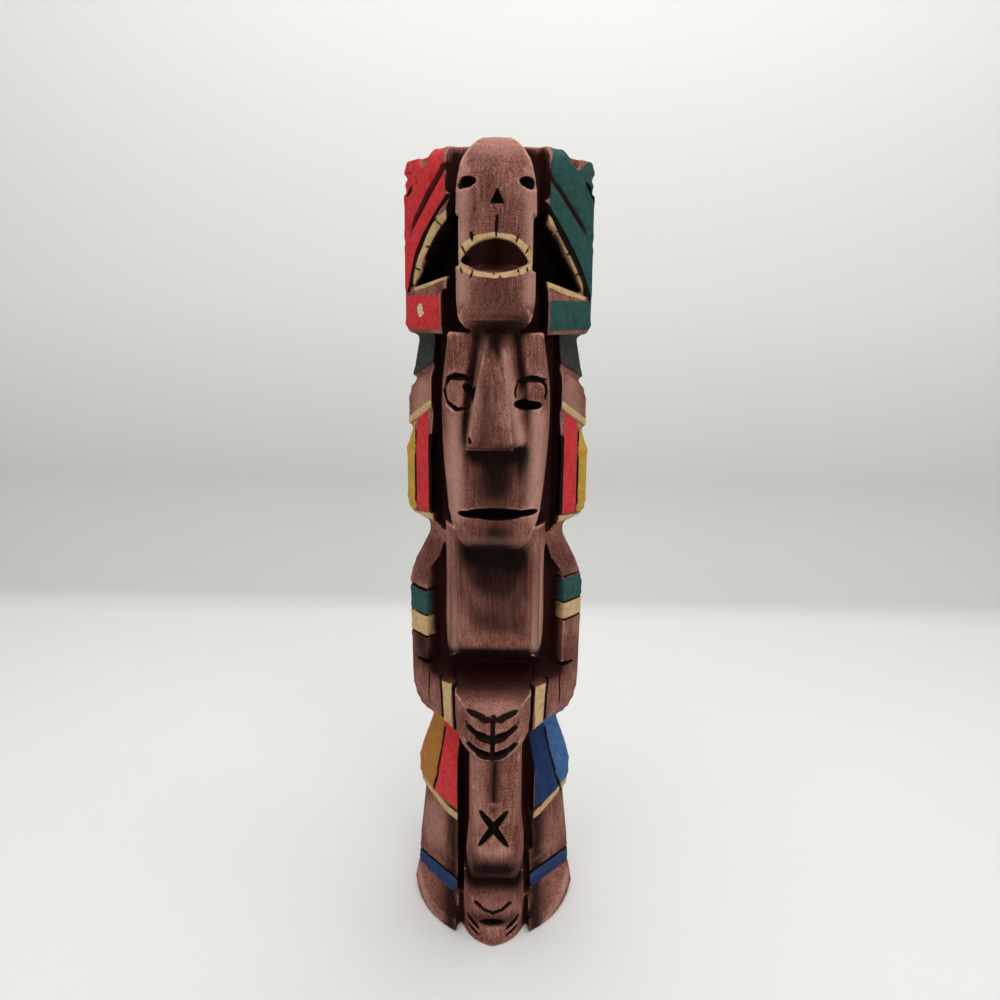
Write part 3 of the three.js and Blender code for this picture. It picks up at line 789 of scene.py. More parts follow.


# Dark patches on the front: stain sprayed into the figures' middles, and painted shadow under the nose,
# chin, chest and snout and in the gaps beside the arms and legs.
STAIN_AND_SHADE_PATCHES = [
    Patch((0.3, 284.0), (0.3, 277.0), 9.0, 0.25),
    Patch((-1.0, 254.0), (2.0, 249.0), 13.0, 0.5),
    Patch((-6.0, 244.5), (8.0, 244.5), 6.5, 0.8),
    Patch((-7.0, 201.5), (10.0, 201.5), 6.5, 1.0),
    Patch((1.0, 196.0), (1.0, 190.0), 15.0, 0.85),
    Patch((1.0, 172.0), (1.0, 167.0), 12.0, 0.8),
    Patch((-6.4, 241.0), (-10.6, 206.0), 3.2, 0.8),
    Patch((7.6, 241.0), (9.6, 225.0), 2.8, 0.85),
    Patch((10.6, 222.0), (12.8, 207.0), 2.2, 0.5),
    Patch((0.0, 240.0), (0.0, 236.0), 4.5, 0.95),
    Patch((-1.5, 226.0), (-2.5, 208.0), 5.5, 0.7),
    Patch((-8.0, 163.0), (9.0, 160.0), 12.0, 1.0),
    Patch((-4.0, 152.0), (4.0, 149.0), 13.0, 0.8),
    Patch((-5.0, 137.0), (9.0, 135.0), 10.0, 0.65),
    Patch((-17.0, 121.0), (17.5, 121.0), 5.0, 0.95),
    Patch((-12.0, 120.0), (13.0, 120.0), 6.0, 1.0),
    Patch((-14.0, 115.5), (16.0, 115.5), 7.5, 1.0),
    Patch((-24.0, 109.0), (26.0, 109.0), 4.5, 0.8),
    Patch((-30.0, 119.0), (-28.0, 112.0), 8.5, 0.75),
    Patch((30.0, 119.0), (28.0, 112.0), 6.5, 0.4),
    Patch((-24.0, 140.0), (-24.0, 112.0), 3.6, 0.85),
    Patch((24.0, 146.0), (24.0, 112.0), 3.6, 0.85),
    Patch((1.0, 84.0), (1.0, 61.0), 2.8, 0.9),
    Patch((-5.0, 35.0), (7.0, 35.0), 7.0, 0.9),
    Patch((-7.0, 26.5), (9.0, 26.5), 9.0, 1.0),
    Patch((-16.8, 48.0), (-16.8, 0.0), 4.8, 0.8),
    Patch((18.6, 50.0), (18.6, 0.0), 4.8, 0.8),
    Patch((-6.0, 11.0), (8.0, 11.0), 4.0, 0.65),
    Patch((-24.0, 158.0), (-28.0, 150.0), 7.0, 0.45),
    Patch((24.0, 158.0), (28.0, 152.0), 7.0, 0.45),
]
# Pale patches on the front: stain rubbed off the raised parts, and painted highlights on the nose's right
# flank, the chest's right edge and the feet's outer rims.
WEAR_AND_HIGHLIGHT_PATCHES = [
    Patch((-3.0, 300.0), (4.0, 300.0), 9.0, 0.4),
    Patch((-11.2, 292.0), (-11.6, 254.0), 4.2, 0.9),
    Patch((11.8, 292.0), (12.2, 254.0), 4.2, 0.85),
    Patch((-27.0, 222.0), (-29.0, 212.0), 5.5, 0.6),
    Patch((27.0, 222.0), (29.0, 212.0), 5.5, 0.5),
    Patch((3.8, 236.0), (9.2, 206.0), 2.3, 0.9),
    Patch((-4.6, 236.0), (-9.0, 206.0), 1.5, 0.5),
    Patch((-14.8, 212.0), (-13.6, 178.0), 4.6, 0.85),
    Patch((15.6, 214.0), (14.8, 178.0), 4.6, 1.0),
    Patch((-11.0, 170.0), (12.0, 170.0), 2.6, 0.2),
    Patch((-16.0, 162.0), (-16.0, 124.0), 3.8, 0.65),
    Patch((16.6, 162.0), (16.6, 124.0), 3.8, 1.0),
    Patch((-6.0, 103.0), (9.0, 103.0), 3.6, 0.35),
    Patch((-10.0, 90.0), (0.0, 84.0), 2.2, 0.6),
    Patch((11.0, 90.0), (0.0, 84.0), 2.2, 0.6),
    Patch((-5.4, 80.0), (-5.4, 54.0), 4.0, 0.3),
    Patch((-4.0, 43.5), (6.0, 43.5), 3.6, 0.5),
    Patch((-26.0, 40.0), (-26.0, 28.0), 7.0, 0.35),
    Patch((-34.0, 8.0), (-22.0, 0.5), 2.6, 0.7),
    Patch((34.0, 8.0), (22.0, 0.5), 2.6, 0.7),
]


@dataclass
class Brushwork:
    """Where each paint lies on a surface, as distances inside its area."""

    surface: Surface

    def on_side(self, side: Side, area: np.ndarray) -> np.ndarray:
        """Keeps an area to one side of the pole."""
        return np.where(self.surface.x * side.value > 0, area, -20.0)

    def beyond(self, side: Side) -> np.ndarray:
        """Distance from the lip line of a side mouth.

        Args:
            side: The side.

        Returns:
            Millimetres, above zero on the panel's side of it.
        """
        s = self.surface
        across, up = np.array(LIP_LINES[side][::-1]).T
        return (s.along - np.interp(s.z, up, across)) * 0.8

    def panel(self, side: Side, corner: float, jaw_from: float, dent: np.ndarray) -> np.ndarray:
        """The painted panel and jaw of one side of the beast head.

        Args:
            side: The side.
            corner: Height of the mouth's corner.
            jaw_from: Where the jaw's paint begins, across the flat face.
            dent: The dented corner above, which has lost its paint.

        Returns:
            The painted area.
        """
        s = self.surface
        eye = (s.reach < 8.5) & (np.abs(s.z - 292.6) < 5.5)
        round_side = all_of(s.reach + 7.0, 303.0 - s.z, np.where(eye, 0.7, 2.8) - s.depth)
        panel = all_of(self.beyond(side), s.z - corner, s.along - 17.6 - np.maximum(s.depth, 0), -dent)
        jaw_edge = s.along - jaw_from - np.maximum(s.depth, 0)
        jaw = all_of(corner - 1.2 - s.z, s.z - 243.0, jaw_edge, 1.8 - s.depth)
        return self.on_side(side, all_of(any_of(panel, jaw), round_side))

    def teeth_width(self, side: Side) -> np.ndarray:
        """Half the width of the upper teeth, which narrow towards the mouth's corner.

        Args:
            side: The side.

        Returns:
            Millimetres.
        """
        corner = LOWER_TEETH[side][0][1]
        middle = 0.95 if side is Side.LEFT else 1.25
        return np.interp(self.surface.z, (corner + 1, corner + 14, corner + 20), (0.5, middle, 1.3))

    def teeth(self, side: Side) -> np.ndarray:
        """The gold strips of one side mouth.

        Args:
            side: The side.

        Returns:
            The painted area.
        """
        s = self.surface
        upper = self.teeth_width(side) - s.away(s.along, UPPER_TEETH[side])
        lower = 0.85 - s.away(s.along, LOWER_TEETH[side])
        return self.on_side(side, all_of(any_of(upper, lower), 2.6 - s.depth, s.along - 16.6))

    def nostril(self) -> np.ndarray:
        """The black triangle on the beast's snout."""
        s = self.surface
        return all_of(s.z - 282.4, (287.4 - s.z) * 0.42 - np.abs(s.x - 0.5) * 0.92, s.reach - 30)

    def hair_gap(self) -> np.ndarray:
        """The dark between the face's edges and the red hair."""
        s = self.surface
        return all_of(within(s.z, 174.6, 205.0), 25.3 - s.side, s.side - 20.6, s.reach, 3 - s.depth)

    def mouth(self, side: Side) -> np.ndarray:
        """The black inside of one side mouth, and the black between its teeth and its lip line.

        Args:
            side: The side.

        Returns:
            The black area.
        """
        s = self.surface
        (out, low), *_, (near, high) = LOWER_TEETH[side]
        floor = low + 0.9 + (out - s.along) * (high - low) / (out - near)
        across, up = np.array(UPPER_TEETH[side][::-1]).T
        deep = np.clip(s.depth - 2.2, 0, 3)
        inside = (np.interp(s.z, up, across) - s.along) * 0.8 - 0.9 + deep
        inside = all_of(inside, s.z - floor + deep * 0.6, 283.0 - s.z, s.depth - 1.0, s.side - 12.6)
        outside = (s.along - np.interp(s.z, up, across)) * 0.8 - self.teeth_width(side)
        gap = all_of(outside, 0.3 - self.beyond(side), s.z - low - 0.6, 280.0 - s.z, s.reach)
        return self.on_side(side, any_of(inside, gap))

    def lips(self) -> np.ndarray:
        """The gold lips of the beast's front mouth.

        Returns:
            The painted area.
        """
        s = self.surface
        upper = np.interp(s.side, (0, 9), (0.7, 1.1)) - s.away(s.x, UPPER_LIP)
        return all_of(any_of(upper, 0.85 - s.away(s.x, LOWER_LIP)), s.reach - 29.5, s.z - 250)

    def head(self) -> dict[str, np.ndarray]:
        """Paint of the beast head.

        Returns:
            The areas by paint.
        """
        s = self.surface
        ragged = 0.6 * np.sin(s.x * 2.9 + 1.0) * np.cos(s.z * 2.3)
        left_dent = 1.5 - np.hypot(s.along - 25.8, s.z - 298.8) + ragged
        right_dent = (s.z - 296.4) * 0.6 - np.abs(s.along - 27.7) * 0.8
        return {
            "red": self.panel(Side.LEFT, 256.0, 20.0, left_dent),
            "teal": self.panel(Side.RIGHT, 254.5, 18.2, right_dent),
            "gold": any_of(self.teeth(Side.LEFT), self.teeth(Side.RIGHT), self.lips()),
        }

    def hair(self) -> dict[str, np.ndarray]:
        """Paint of the cap, the lobes and the hair's long strips.

        Returns:
            The areas by paint.
        """
        s = self.surface
        cap = within(s.z - s.inward * 0.7, 225.3, 244.0)
        cap = all_of(cap, 241.6 - s.z, s.reach + 8, s.side - 20.6, 3.6 - s.depth)
        lobe = s.z - s.inward * 0.85
        flap = all_of(within(lobe, 206.9, 209.8), s.reach + 8, s.side - 23.6, 2.2 - s.depth)
        foot = s.z - s.inward * 0.15
        strips = all_of(foot - 173.6, 206.2 - lobe, 2.2 - s.depth)
        yellow = all_of(strips, any_of(s.along - HAIR_SPLIT - 0.5, -s.reach), s.reach + 11.6)
        front_red = all_of(HAIR_SPLIT - 0.4 - s.along, s.side - 25.4, s.reach)
        red = any_of(front_red, all_of(-12.4 - s.reach, s.reach + 31.4))
        rim = all_of(within(foot, 170.8, 173.0), s.side - 14, 2.6 - s.depth)
        return {"cap": cap, "red": all_of(strips, red), "yellow": yellow, "gold": any_of(flap, rim)}

    def arms(self) -> dict[str, np.ndarray]:
        """Paint of the armbands and wristbands.

        Returns:
            The areas by paint.
        """
        s = self.surface
        band = all_of(s.side - 24.2, 17.0 - s.reach, s.reach + 8.4)
        teal, gold = [], []
        for side, (top, middle, bottom) in ARM_BANDS.items():
            teal.append(self.on_side(side, all_of(within(s.z, middle + 0.4, top - 0.8), band)))
            gold.append(self.on_side(side, all_of(within(s.z, bottom + 0.5, middle - 0.4), band)))
        outer = (20.8 - s.side) - (107 - s.z) * 0.05
        wrist = all_of(outer, s.side - 16.6, within(s.z, 84, 106.6), s.reach - 12, 2.4 - s.depth)
        return {"teal": any_of(*teal), "gold": any_of(wrist, *gold)}

    def skirt(self, side: Side) -> tuple[np.ndarray, np.ndarray]:
        """The two feathers of one side of the skirt.

        Args:
            side: The side.

        Returns:
            The outer feather's area and the inner one's.
        """
        s = self.surface
        top, low = FEATHER_SPLIT[side]
        feathers = all_of(s.z + s.inward * 0.6 - HEM_TOP, 88 - s.z, 2.4 - s.depth)
        split = s.line((low, 49.0), (top, 84.0))
        on_log = all_of(s.reach, s.side - 14 - np.maximum(s.depth, 0) * 0.5, s.depth + 0.9)
        inner = all_of(feathers, any_of(all_of(split, on_log), all_of(-12 - s.reach, s.reach + 28.6)))
        outer = all_of(feathers, any_of(-split, -s.reach), s.reach + 10.8)
        return self.on_side(side, outer), self.on_side(side, inner)

    def lower(self) -> dict[str, np.ndarray]:
        """Paint of the skirt, its gold hem and the ankle bands.

        Returns:
            The areas by paint.
        """
        s = self.surface
        ochre, red = self.skirt(Side.LEFT)
        blue, navy = self.skirt(Side.RIGHT)
        trim = within(s.z + s.inward * 0.6, 50.6, HEM_TOP)
        trim = all_of(trim, 2.6 - s.depth, s.side - 13.6, s.depth + 1.2)
        ankle = all_of(2 - s.depth, s.depth + 0.7, s.side - 14.8, s.reach + 8.6)
        ankles = [
            self.on_side(side, all_of(within(s.z, low, high), ankle))
            for side, low, high in ((Side.LEFT, 10.6, 16.2), (Side.RIGHT, 12.4, 19.0))
        ]
        areas = {"ochre": ochre, "red": red, "blue": blue, "navy": navy, "gold": trim}
        return areas | {"ankle_blue": any_of(*ankles)}

    def bare(self) -> np.ndarray:
        """The deep chip on the left jaw.

        Returns:
            The bare area.
        """
        s = self.surface
        ragged = 0.4 * np.sin(s.x * 2.9 + 1.0) * np.cos(s.z * 2.3)
        return all_of(2.3 - np.hypot((s.x + 27.3) * 1.25, (s.z - 249.4) * 0.75) + ragged, s.reach - 1)

    def areas(self) -> dict[str, np.ndarray]:
        """Every paint's whole area, and the chip.

        Returns:
            The areas by name.
        """
        areas = {"bare": self.bare()}
        for part in (self.head(), self.hair(), self.arms(), self.lower()):
            for name, area in part.items():
                areas[name] = any_of(areas[name], area) if name in areas else area
        return areas

    def patched(self, patches: Sequence[Patch]) -> np.ndarray:
        """How strongly soft patches together show on the front.

        Args:
            patches: The patches.

        Returns:
            A number from 0 to 1 for each vertex.
        """
        s = self.surface
        bare = np.ones(len(s.x))
        for patch in patches:
            away = s.away(s.x, [patch.start, patch.end])
            bare *= 1 - fade(away, 0.1 * patch.reach, patch.reach) * patch.strength
        return (1 - bare) * np.clip((s.reach + 3) / 6, 0, 1)

    def stain_and_shade(self) -> np.ndarray:
        """How much dark stain was sprayed on, with painted shadow under the figures and painted shade on the
        tops of the feet.

        Returns:
            A number from 0 to 1 for each vertex.
        """
        s = self.surface
        upward = np.clip((s.normals[:, 2] - 0.2) / 0.2, 0, 1)
        # Painted shade on the upward tops of the feet, strongest on their inner part.
        shaded_foot_tops = fade(s.z, 10.5, 12.5) * upward * (s.side > 13.2)
        shaded_foot_tops *= fade(s.side, 17.0, 28.0)
        return np.maximum(self.patched(STAIN_AND_SHADE_PATCHES), shaded_foot_tops * 0.85)


@dataclass
class CarvedPole:
    """The whole carving as one piece: its cuts, its sanded edges and its surface measures."""

    node: bpy.types.Object
    axis_y: float
    filled: list[Cut]
    carved: list[Cut]
    inked: list[Cut]
    voxel: float = 0.5
    rays: int = 24
    triangles: int = 196_000
    facet_rounds: int = 50
    keen_edge: tuple[float, float] = (0.07, 0.2)
    dark_from: float = 1.5
    groove_from: float = 0.08
    band_reach: tuple[float, float] = (0.7, 1.4)
    piece: bpy.types.Object | None = None

    def copy_blank(self) -> None:
        """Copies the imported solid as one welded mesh."""
        mesh = self.node.data.copy()
        self.piece = bpy.data.objects.new("totem_pole_carving", mesh)
        bpy.context.scene.collection.objects.link(self.piece)
        mesh.materials.clear()
        activate(self.piece)
        bpy.ops.object.mode_set(mode="EDIT")
        bpy.ops.mesh.select_all(action="SELECT")
        bpy.ops.mesh.remove_doubles(threshold=1e-6)
        bpy.ops.object.mode_set(mode="OBJECT")

    def cut(self) -> None:
        """Fills in the teeth strips and takes the fine strokes out of the wood."""
        toolbox = Toolbox(self.axis_y)
        toolbox.forge()
        for cuts, operation in ((self.filled, "UNION"), (self.carved, "DIFFERENCE")):
            strokes = toolbox.bundle(cuts)
            apply_modifier(
                self.piece, "BOOLEAN", operation=operation, solver="EXACT", object=strokes, use_self=True
            )
            bpy.data.objects.remove(strokes)

    def sand(self) -> None:
        """Rounds every edge a little and evens out the facets, within the mesh's budget."""
        apply_modifier(self.piece, "REMESH", mode="VOXEL", voxel_size=self.voxel * MM)
        apply_modifier(self.piece, "SMOOTH", factor=0.5, iterations=3)
        mesh = self.piece.data
        surface = Surface.read(mesh, self.axis_y)
        edged = 1 - fade(np.abs(surface.sharpness()), *self.keen_edge)
        edged = np.clip(surface.blur(edged, 3) * 2, 0, 1)
        evened = surface.blur(surface.places, self.facet_rounds, edged)
        mesh.vertices.foreach_set("co", evened.ravel())
        mesh.update()
        faces = len(mesh.polygons) * 2
        LOG.info("sanded to %d triangles", faces)
        if faces > self.triangles:
            apply_modifier(self.piece, "DECIMATE", ratio=self.triangles / faces)
        self.piece.data.shade_smooth()

    def store(self, name: str, values: np.ndarray) -> None:
        """Keeps one number for each vertex under a name that the finish reads."""
        attribute = self.piece.data.attributes.new(name, "FLOAT", "POINT")
        attribute.data.foreach_set("value", values.astype(np.float32))

    def measure(self) -> None:
        """Stores what the finish reads: paint areas, ink, stain with painted shade, wear with painted
        highlight, recesses and edges.
        """
        surface = Surface.read(self.piece.data, self.axis_y)
        brushwork = Brushwork(surface)
        for name, area in brushwork.areas().items():
            self.store(name, np.clip(area, -20, 20))
        strokes = [surface.inside_stroke(cut) for cut in self.inked]
        mouths = [brushwork.mouth(side) for side in Side]
        ink = any_of(*strokes, brushwork.nostril(), brushwork.hair_gap(), *mouths)
        self.store("ink", np.clip(ink, -3, 3))
        # Sprayed stain with painted shadow, from the dark patches and the feet's tops.
        self.store("stain_and_shade", brushwork.stain_and_shade())
        # Rubbed wear with painted highlight, from the pale patches.
        self.store("rub", brushwork.patched(WEAR_AND_HIGHLIGHT_PATCHES))
        edge = surface.sharpness()
        self.store("edge", edge)
        # Recess: hollowness, depth, creases and the band grooves, which the finish darkens as stain with
        # painted shade.
        deep = np.clip(surface.depth - self.dark_from, 0, 8) * 0.04
        groove = np.clip(-edge - self.groove_from, 0, 0.7) * 0.5
        # Painted shade along the broad groove across each panel.
        bands = [brushwork.on_side(side, -surface.away(surface.along, BANDS[side])) for side in Side]
        band = fade(-any_of(*bands), *self.band_reach) * np.clip(surface.reach / 4, 0, 1) * 0.45
        self.store("recess", surface.hollowness(self.piece, self.rays) + deep + groove + band)

    def build(self) -> bpy.types.Object:
        """Carves, sands and measures the piece.

        Returns:
            The finished piece, without its material.
        """
        self.copy_blank()
        self.cut()
        LOG.info("%d fine cuts made", len(self.carved))
        self.sand()
        self.measure()
        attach(self.piece, BODY)
        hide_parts(NODE)
        return self.piece


# ---- Shader maths ----


class Sheet:
    """One material's node tree."""

    def __init__(self, name: str) -> None:
        """Starts an empty material.

        Args:
            name: The material's name.
        """
        self.material = bpy.data.materials.new(name)
        self.material.use_nodes = True
        self.tree = self.material.node_tree
        self.tree.nodes.clear()

    def node(self, kind: str, settings: dict[str, object], sockets: dict[object, object]) -> bpy.types.Node:
        """Adds a node.

        Args:
            kind: The node's type.
            settings: Its settings by name, set first.
            sockets: Values or links of its inputs, by name or number.

        Returns:
            The node.
        """
        node = self.tree.nodes.new(kind)
        for name, value in settings.items():
            setattr(node, name, value)
        for key, value in sockets.items():
            if isinstance(value, Field):
                self.tree.links.new(value.socket, node.inputs[key])
            elif isinstance(value, bpy.types.NodeSocket):
                self.tree.links.new(value, node.inputs[key])
            else:
                node.inputs[key].default_value = value
        return node

    def ramp(self, factor: "Field", stops: Sequence[tuple[float, Colour]]) -> bpy.types.NodeSocket:
        """A colour that changes along a number.

        Args:
            factor: The number, 0 to 1.
            stops: Places and the colours there.

        Returns:
            The colour socket.
        """
        node = self.node("ShaderNodeValToRGB", {}, {"Fac": factor})
        elements = node.color_ramp.elements
        while len(elements) < len(stops):
            elements.new(0.5)
        for element, (place, colour) in zip(elements, stops):
            element.position = place
            element.color = linear(colour)
        return node.outputs["Color"]

    def blend(self, factor: object, below: object, above: object, mode: str = "MIX") -> bpy.types.NodeSocket:
        """Lays one colour over another.

        Args:
            factor: How much of the upper one shows.
            below: Colour or socket underneath.
            above: Colour or socket on top.
            mode: The blend type.

        Returns:
            The mixed colour socket.
        """
        settings = {"data_type": "RGBA", "blend_type": mode}
        return self.node("ShaderNodeMix", settings, {0: factor, 6: below, 7: above}).outputs[2]

    def noise(self, place: object, scale: float, detail: float = 2.0, rough: float = 0.5) -> "Field":
        """Soft noise around 0.5.

        Args:
            place: The place to read it at.
            scale: How many blobs to a metre.
            detail: How many finer layers.
            rough: How strong they are.

        Returns:
            The noise.
        """
        node = self.node(
            "ShaderNodeTexNoise",
            {"noise_dimensions": "3D"},
            {"Vector": place, "Scale": scale, "Detail": detail, "Roughness": rough},
        )
        return Field(self, node.outputs[0])

    def stored(self, name: str) -> "Field":
        """A measure that the piece keeps on its vertices."""
        node = self.node("ShaderNodeAttribute", {"attribute_name": name}, {})
        return Field(self, node.outputs["Fac"])


class Field:
    """A number that changes over the surface; sums on it add Math nodes."""

    def __init__(self, sheet: Sheet, socket: bpy.types.NodeSocket) -> None:
        """Wraps a socket."""
        self.sheet = sheet
        self.socket = socket

    def maths(self, operation: str, *values: object) -> "Field":
        """Adds one Math node.

        Args:
            operation: Its operation.
            *values: Its inputs, in order.

        Returns:
            Its result.
        """
        sockets = dict(enumerate(values))
        node = self.sheet.node("ShaderNodeMath", {"operation": operation}, sockets)
        return Field(self.sheet, node.outputs[0])

    def __add__(self, other: object) -> "Field":
        """The sum."""
        return self.maths("ADD", self, other)

    __radd__ = __add__

    def __sub__(self, other: object) -> "Field":
        """The difference."""
        return self.maths("SUBTRACT", self, other)

    def __rsub__(self, other: object) -> "Field":
        """The difference, the other way round."""
        return self.maths("SUBTRACT", other, self)

    def __mul__(self, other: object) -> "Field":
        """The product."""
        return self.maths("MULTIPLY", self, other)

    __rmul__ = __mul__

    def least(self, other: object) -> "Field":
        """The smaller of two."""
        return self.maths("MINIMUM", self, other)

    def most(self, other: object) -> "Field":
        """The larger of two."""
        return self.maths("MAXIMUM", self, other)

    def above(self, edge: float, soft: float) -> "Field":
        """A soft step from 0 below an edge to 1 above it.

        Args:
            edge: Where the step is.
            soft: Half its width.

        Returns:
            The step.
        """
        node = self.sheet.node(
            "ShaderNodeMapRange",
            {"interpolation_type": "SMOOTHSTEP"},
            {"Value": self, "From Min": edge - soft, "From Max": edge + soft},
        )
        return Field(self.sheet, node.outputs["Result"])


# ---- Finishes ----


@dataclass(frozen=True)
class Paint:
    """A brushed paint: its area's name, its colour, and a darker one for thin places."""

    area: str
    colour: Colour
    dark: Colour
    wobble: float = 0.3


PAINTS = [
    Paint("red", (212, 62, 66), (172, 38, 42)),
    Paint("teal", (52, 88, 83), (34, 62, 59)),
    Paint("cap", (64, 64, 58), (42, 42, 38)),
    Paint("yellow", (202, 162, 70), (166, 122, 48)),
    Paint("ochre", (178, 120, 60), (150, 96, 48)),
    Paint("navy", (36, 56, 100), (26, 38, 72)),
    Paint("blue", (72, 108, 156), (50, 80, 126)),
    Paint("ankle_blue", (48, 68, 108), (34, 46, 78)),
    Paint("gold", (214, 182, 134), (166, 130, 86), 0.6),
]
# Stained wood from the darkest grain to the palest.
WOOD_TONES = [(0.34, (76, 40, 34)), (0.46, (118, 72, 62)), (0.56, (148, 98, 86)), (0.68, (180, 132, 118))]
# Dark stain, also the colour of painted shade in recesses and under the figures.
DARK_STAIN_AND_SHADE = (40, 15, 12)
BLACK = (10, 4, 3)
# Pale sanded wood, also the colour of painted highlights.
PALE_WEAR_AND_HIGHLIGHT = (208, 158, 142)
RUBBED = (150, 104, 90)
CHIPPED = (214, 198, 172)


class PoleFinish:
    """The one material of the carving: stained wood, paint, black cuts and wear, with painted shade and
    highlights.
    """

    def __init__(self) -> None:
        """Sets up what every layer uses."""
        sheet = self.sheet = Sheet("stained_and_painted_wood")
        self.place = sheet.node("ShaderNodeTexCoord", {}, {}).outputs["Object"]
        self.wobble = (sheet.noise(self.place, 160.0, 1.0) - 0.5) * 1.2
        self.speckle = sheet.noise(self.place, 2600.0, 2.0, 0.7)
        self.brush = sheet.noise(self.place, 420.0, 3.0)
        self.edge = sheet.stored("edge")
        self.painted: Field | float = 0.0
        self.colour: object = None

    def wood(self) -> None:
        """Stained wood with fine upright grain."""
        sheet = self.sheet
        stretched = sheet.node("ShaderNodeMapping", {}, {0: self.place, 3: (1.0, 1.0, 0.08)}).outputs[0]
        self.grain = sheet.noise(stretched, 1500.0, 4.0, 0.65)
        clouds = sheet.noise(self.place, 70.0, 3.0, 0.6)
        tone = self.grain * 0.42 + clouds * 0.38 + self.speckle * 0.7 - 0.25
        self.colour = sheet.ramp(tone, WOOD_TONES)

    def stain_and_shade(self) -> None:
        """Dark stain sprayed into the middle of each figure, and painted shadow under the nose, chin, chest
        and snout, near black where strongest.
        """
        sprayed_stain_and_shade = self.sheet.stored("stain_and_shade")
        self.sprayed_stain_and_shade = (sprayed_stain_and_shade * 1.12 + (self.speckle - 0.5) * sprayed_stain_and_shade * 0.9).most(0.0).least(1.0)
        stain_and_shade_colour = self.sheet.blend(self.sprayed_stain_and_shade.above(0.72, 0.24), linear(DARK_STAIN_AND_SHADE), linear(BLACK))
        self.colour = self.sheet.blend(self.sprayed_stain_and_shade * 0.98, self.colour, stain_and_shade_colour)

    def wear_and_highlight(self) -> None:
        """Pale patches of rubbed wear and painted highlight, and edges sanded pale, all less so under the
        sprayed stain and painted shadow.
        """
        # Rubbed stain and painted highlight from the pale patches.
        broad_wear_and_highlight = self.sheet.stored("rub") * (0.25 + (self.speckle + self.brush) * 0.55).most(0.0).least(1.0)
        self.colour = self.sheet.blend(broad_wear_and_highlight * 0.8, self.colour, linear(PALE_WEAR_AND_HIGHLIGHT))
        sharp = self.edge + (self.speckle - 0.5) * 0.4 + (self.brush - 0.5) * 0.35 - self.sprayed_stain_and_shade * 0.8
        self.colour = self.sheet.blend(sharp.above(0.36, 0.3) * 0.65, self.colour, linear(PALE_WEAR_AND_HIGHLIGHT))

    def paint(self) -> None:
        """Every paint, with brushed edges."""
        sheet = self.sheet
        streaks = (self.brush * 0.55 + self.speckle * 0.45).above(0.44, 0.2)
        for paint in PAINTS:
            mask = (sheet.stored(paint.area) + self.wobble * paint.wobble).above(0.0, 0.12)
            tone = sheet.blend(streaks, linear(paint.dark), linear(paint.colour))
            self.colour = sheet.blend(mask, self.colour, tone)
            self.painted = mask.most(self.painted)

    def rubbed_paint(self) -> None:
        """Paint rubbed through on the sharpest edges, and the chips."""
        rub = (self.edge + (self.brush - 0.5) * 0.9 + (self.speckle - 0.5) * 0.5).above(0.66, 0.14)
        self.colour = self.sheet.blend(rub * self.painted * 0.7, self.colour, linear(RUBBED))
        chip = (self.sheet.stored("bare") + (self.brush - 0.5) * 1.4).above(0.0, 0.2)
        self.colour = self.sheet.blend(chip * 0.95, self.colour, linear(CHIPPED))

    def dark(self) -> None:
        """Nearly black stain and painted shade in every recess and cut."""
        sheet = self.sheet
        shade = (sheet.stored("recess") + (self.speckle - 0.5) * 0.12).above(0.36, 0.2)
        self.colour = sheet.blend(shade * 0.95, self.colour, linear(DARK_STAIN_AND_SHADE))
        ink = (sheet.stored("ink") + self.wobble * 0.1).above(-0.08, 0.14)
        self.colour = sheet.blend(ink * 0.97, self.colour, linear(BLACK))

    def finish(self) -> bpy.types.Material:
        """Builds every layer and joins them to the shader.

        Returns:
            The material.
        """
        sheet = self.sheet
        self.wood()
        self.stain_and_shade()
        self.wear_and_highlight()
        self.paint()
        self.rubbed_paint()
        self.dark()
        height = self.grain * 0.6 * (1 - self.painted * 0.7) + self.brush * 0.4 + self.speckle * 0.3
        bump = sheet.node("ShaderNodeBump", {}, {"Strength": 0.35, "Distance": 0.0003, "Height": height})
        shader = sheet.node(
            "ShaderNodeBsdfPrincipled",
            {},
            {
                "Base Color": self.colour,
                "Roughness": 0.72 - self.painted * 0.14,
                "Specular IOR Level": 0.05,
                "Normal": bump.outputs[0],
            },
        )
        sheet.node("ShaderNodeOutputMaterial", {}, {"Surface": shader.outputs[0]})
        return sheet.material


# ---- Studio ----


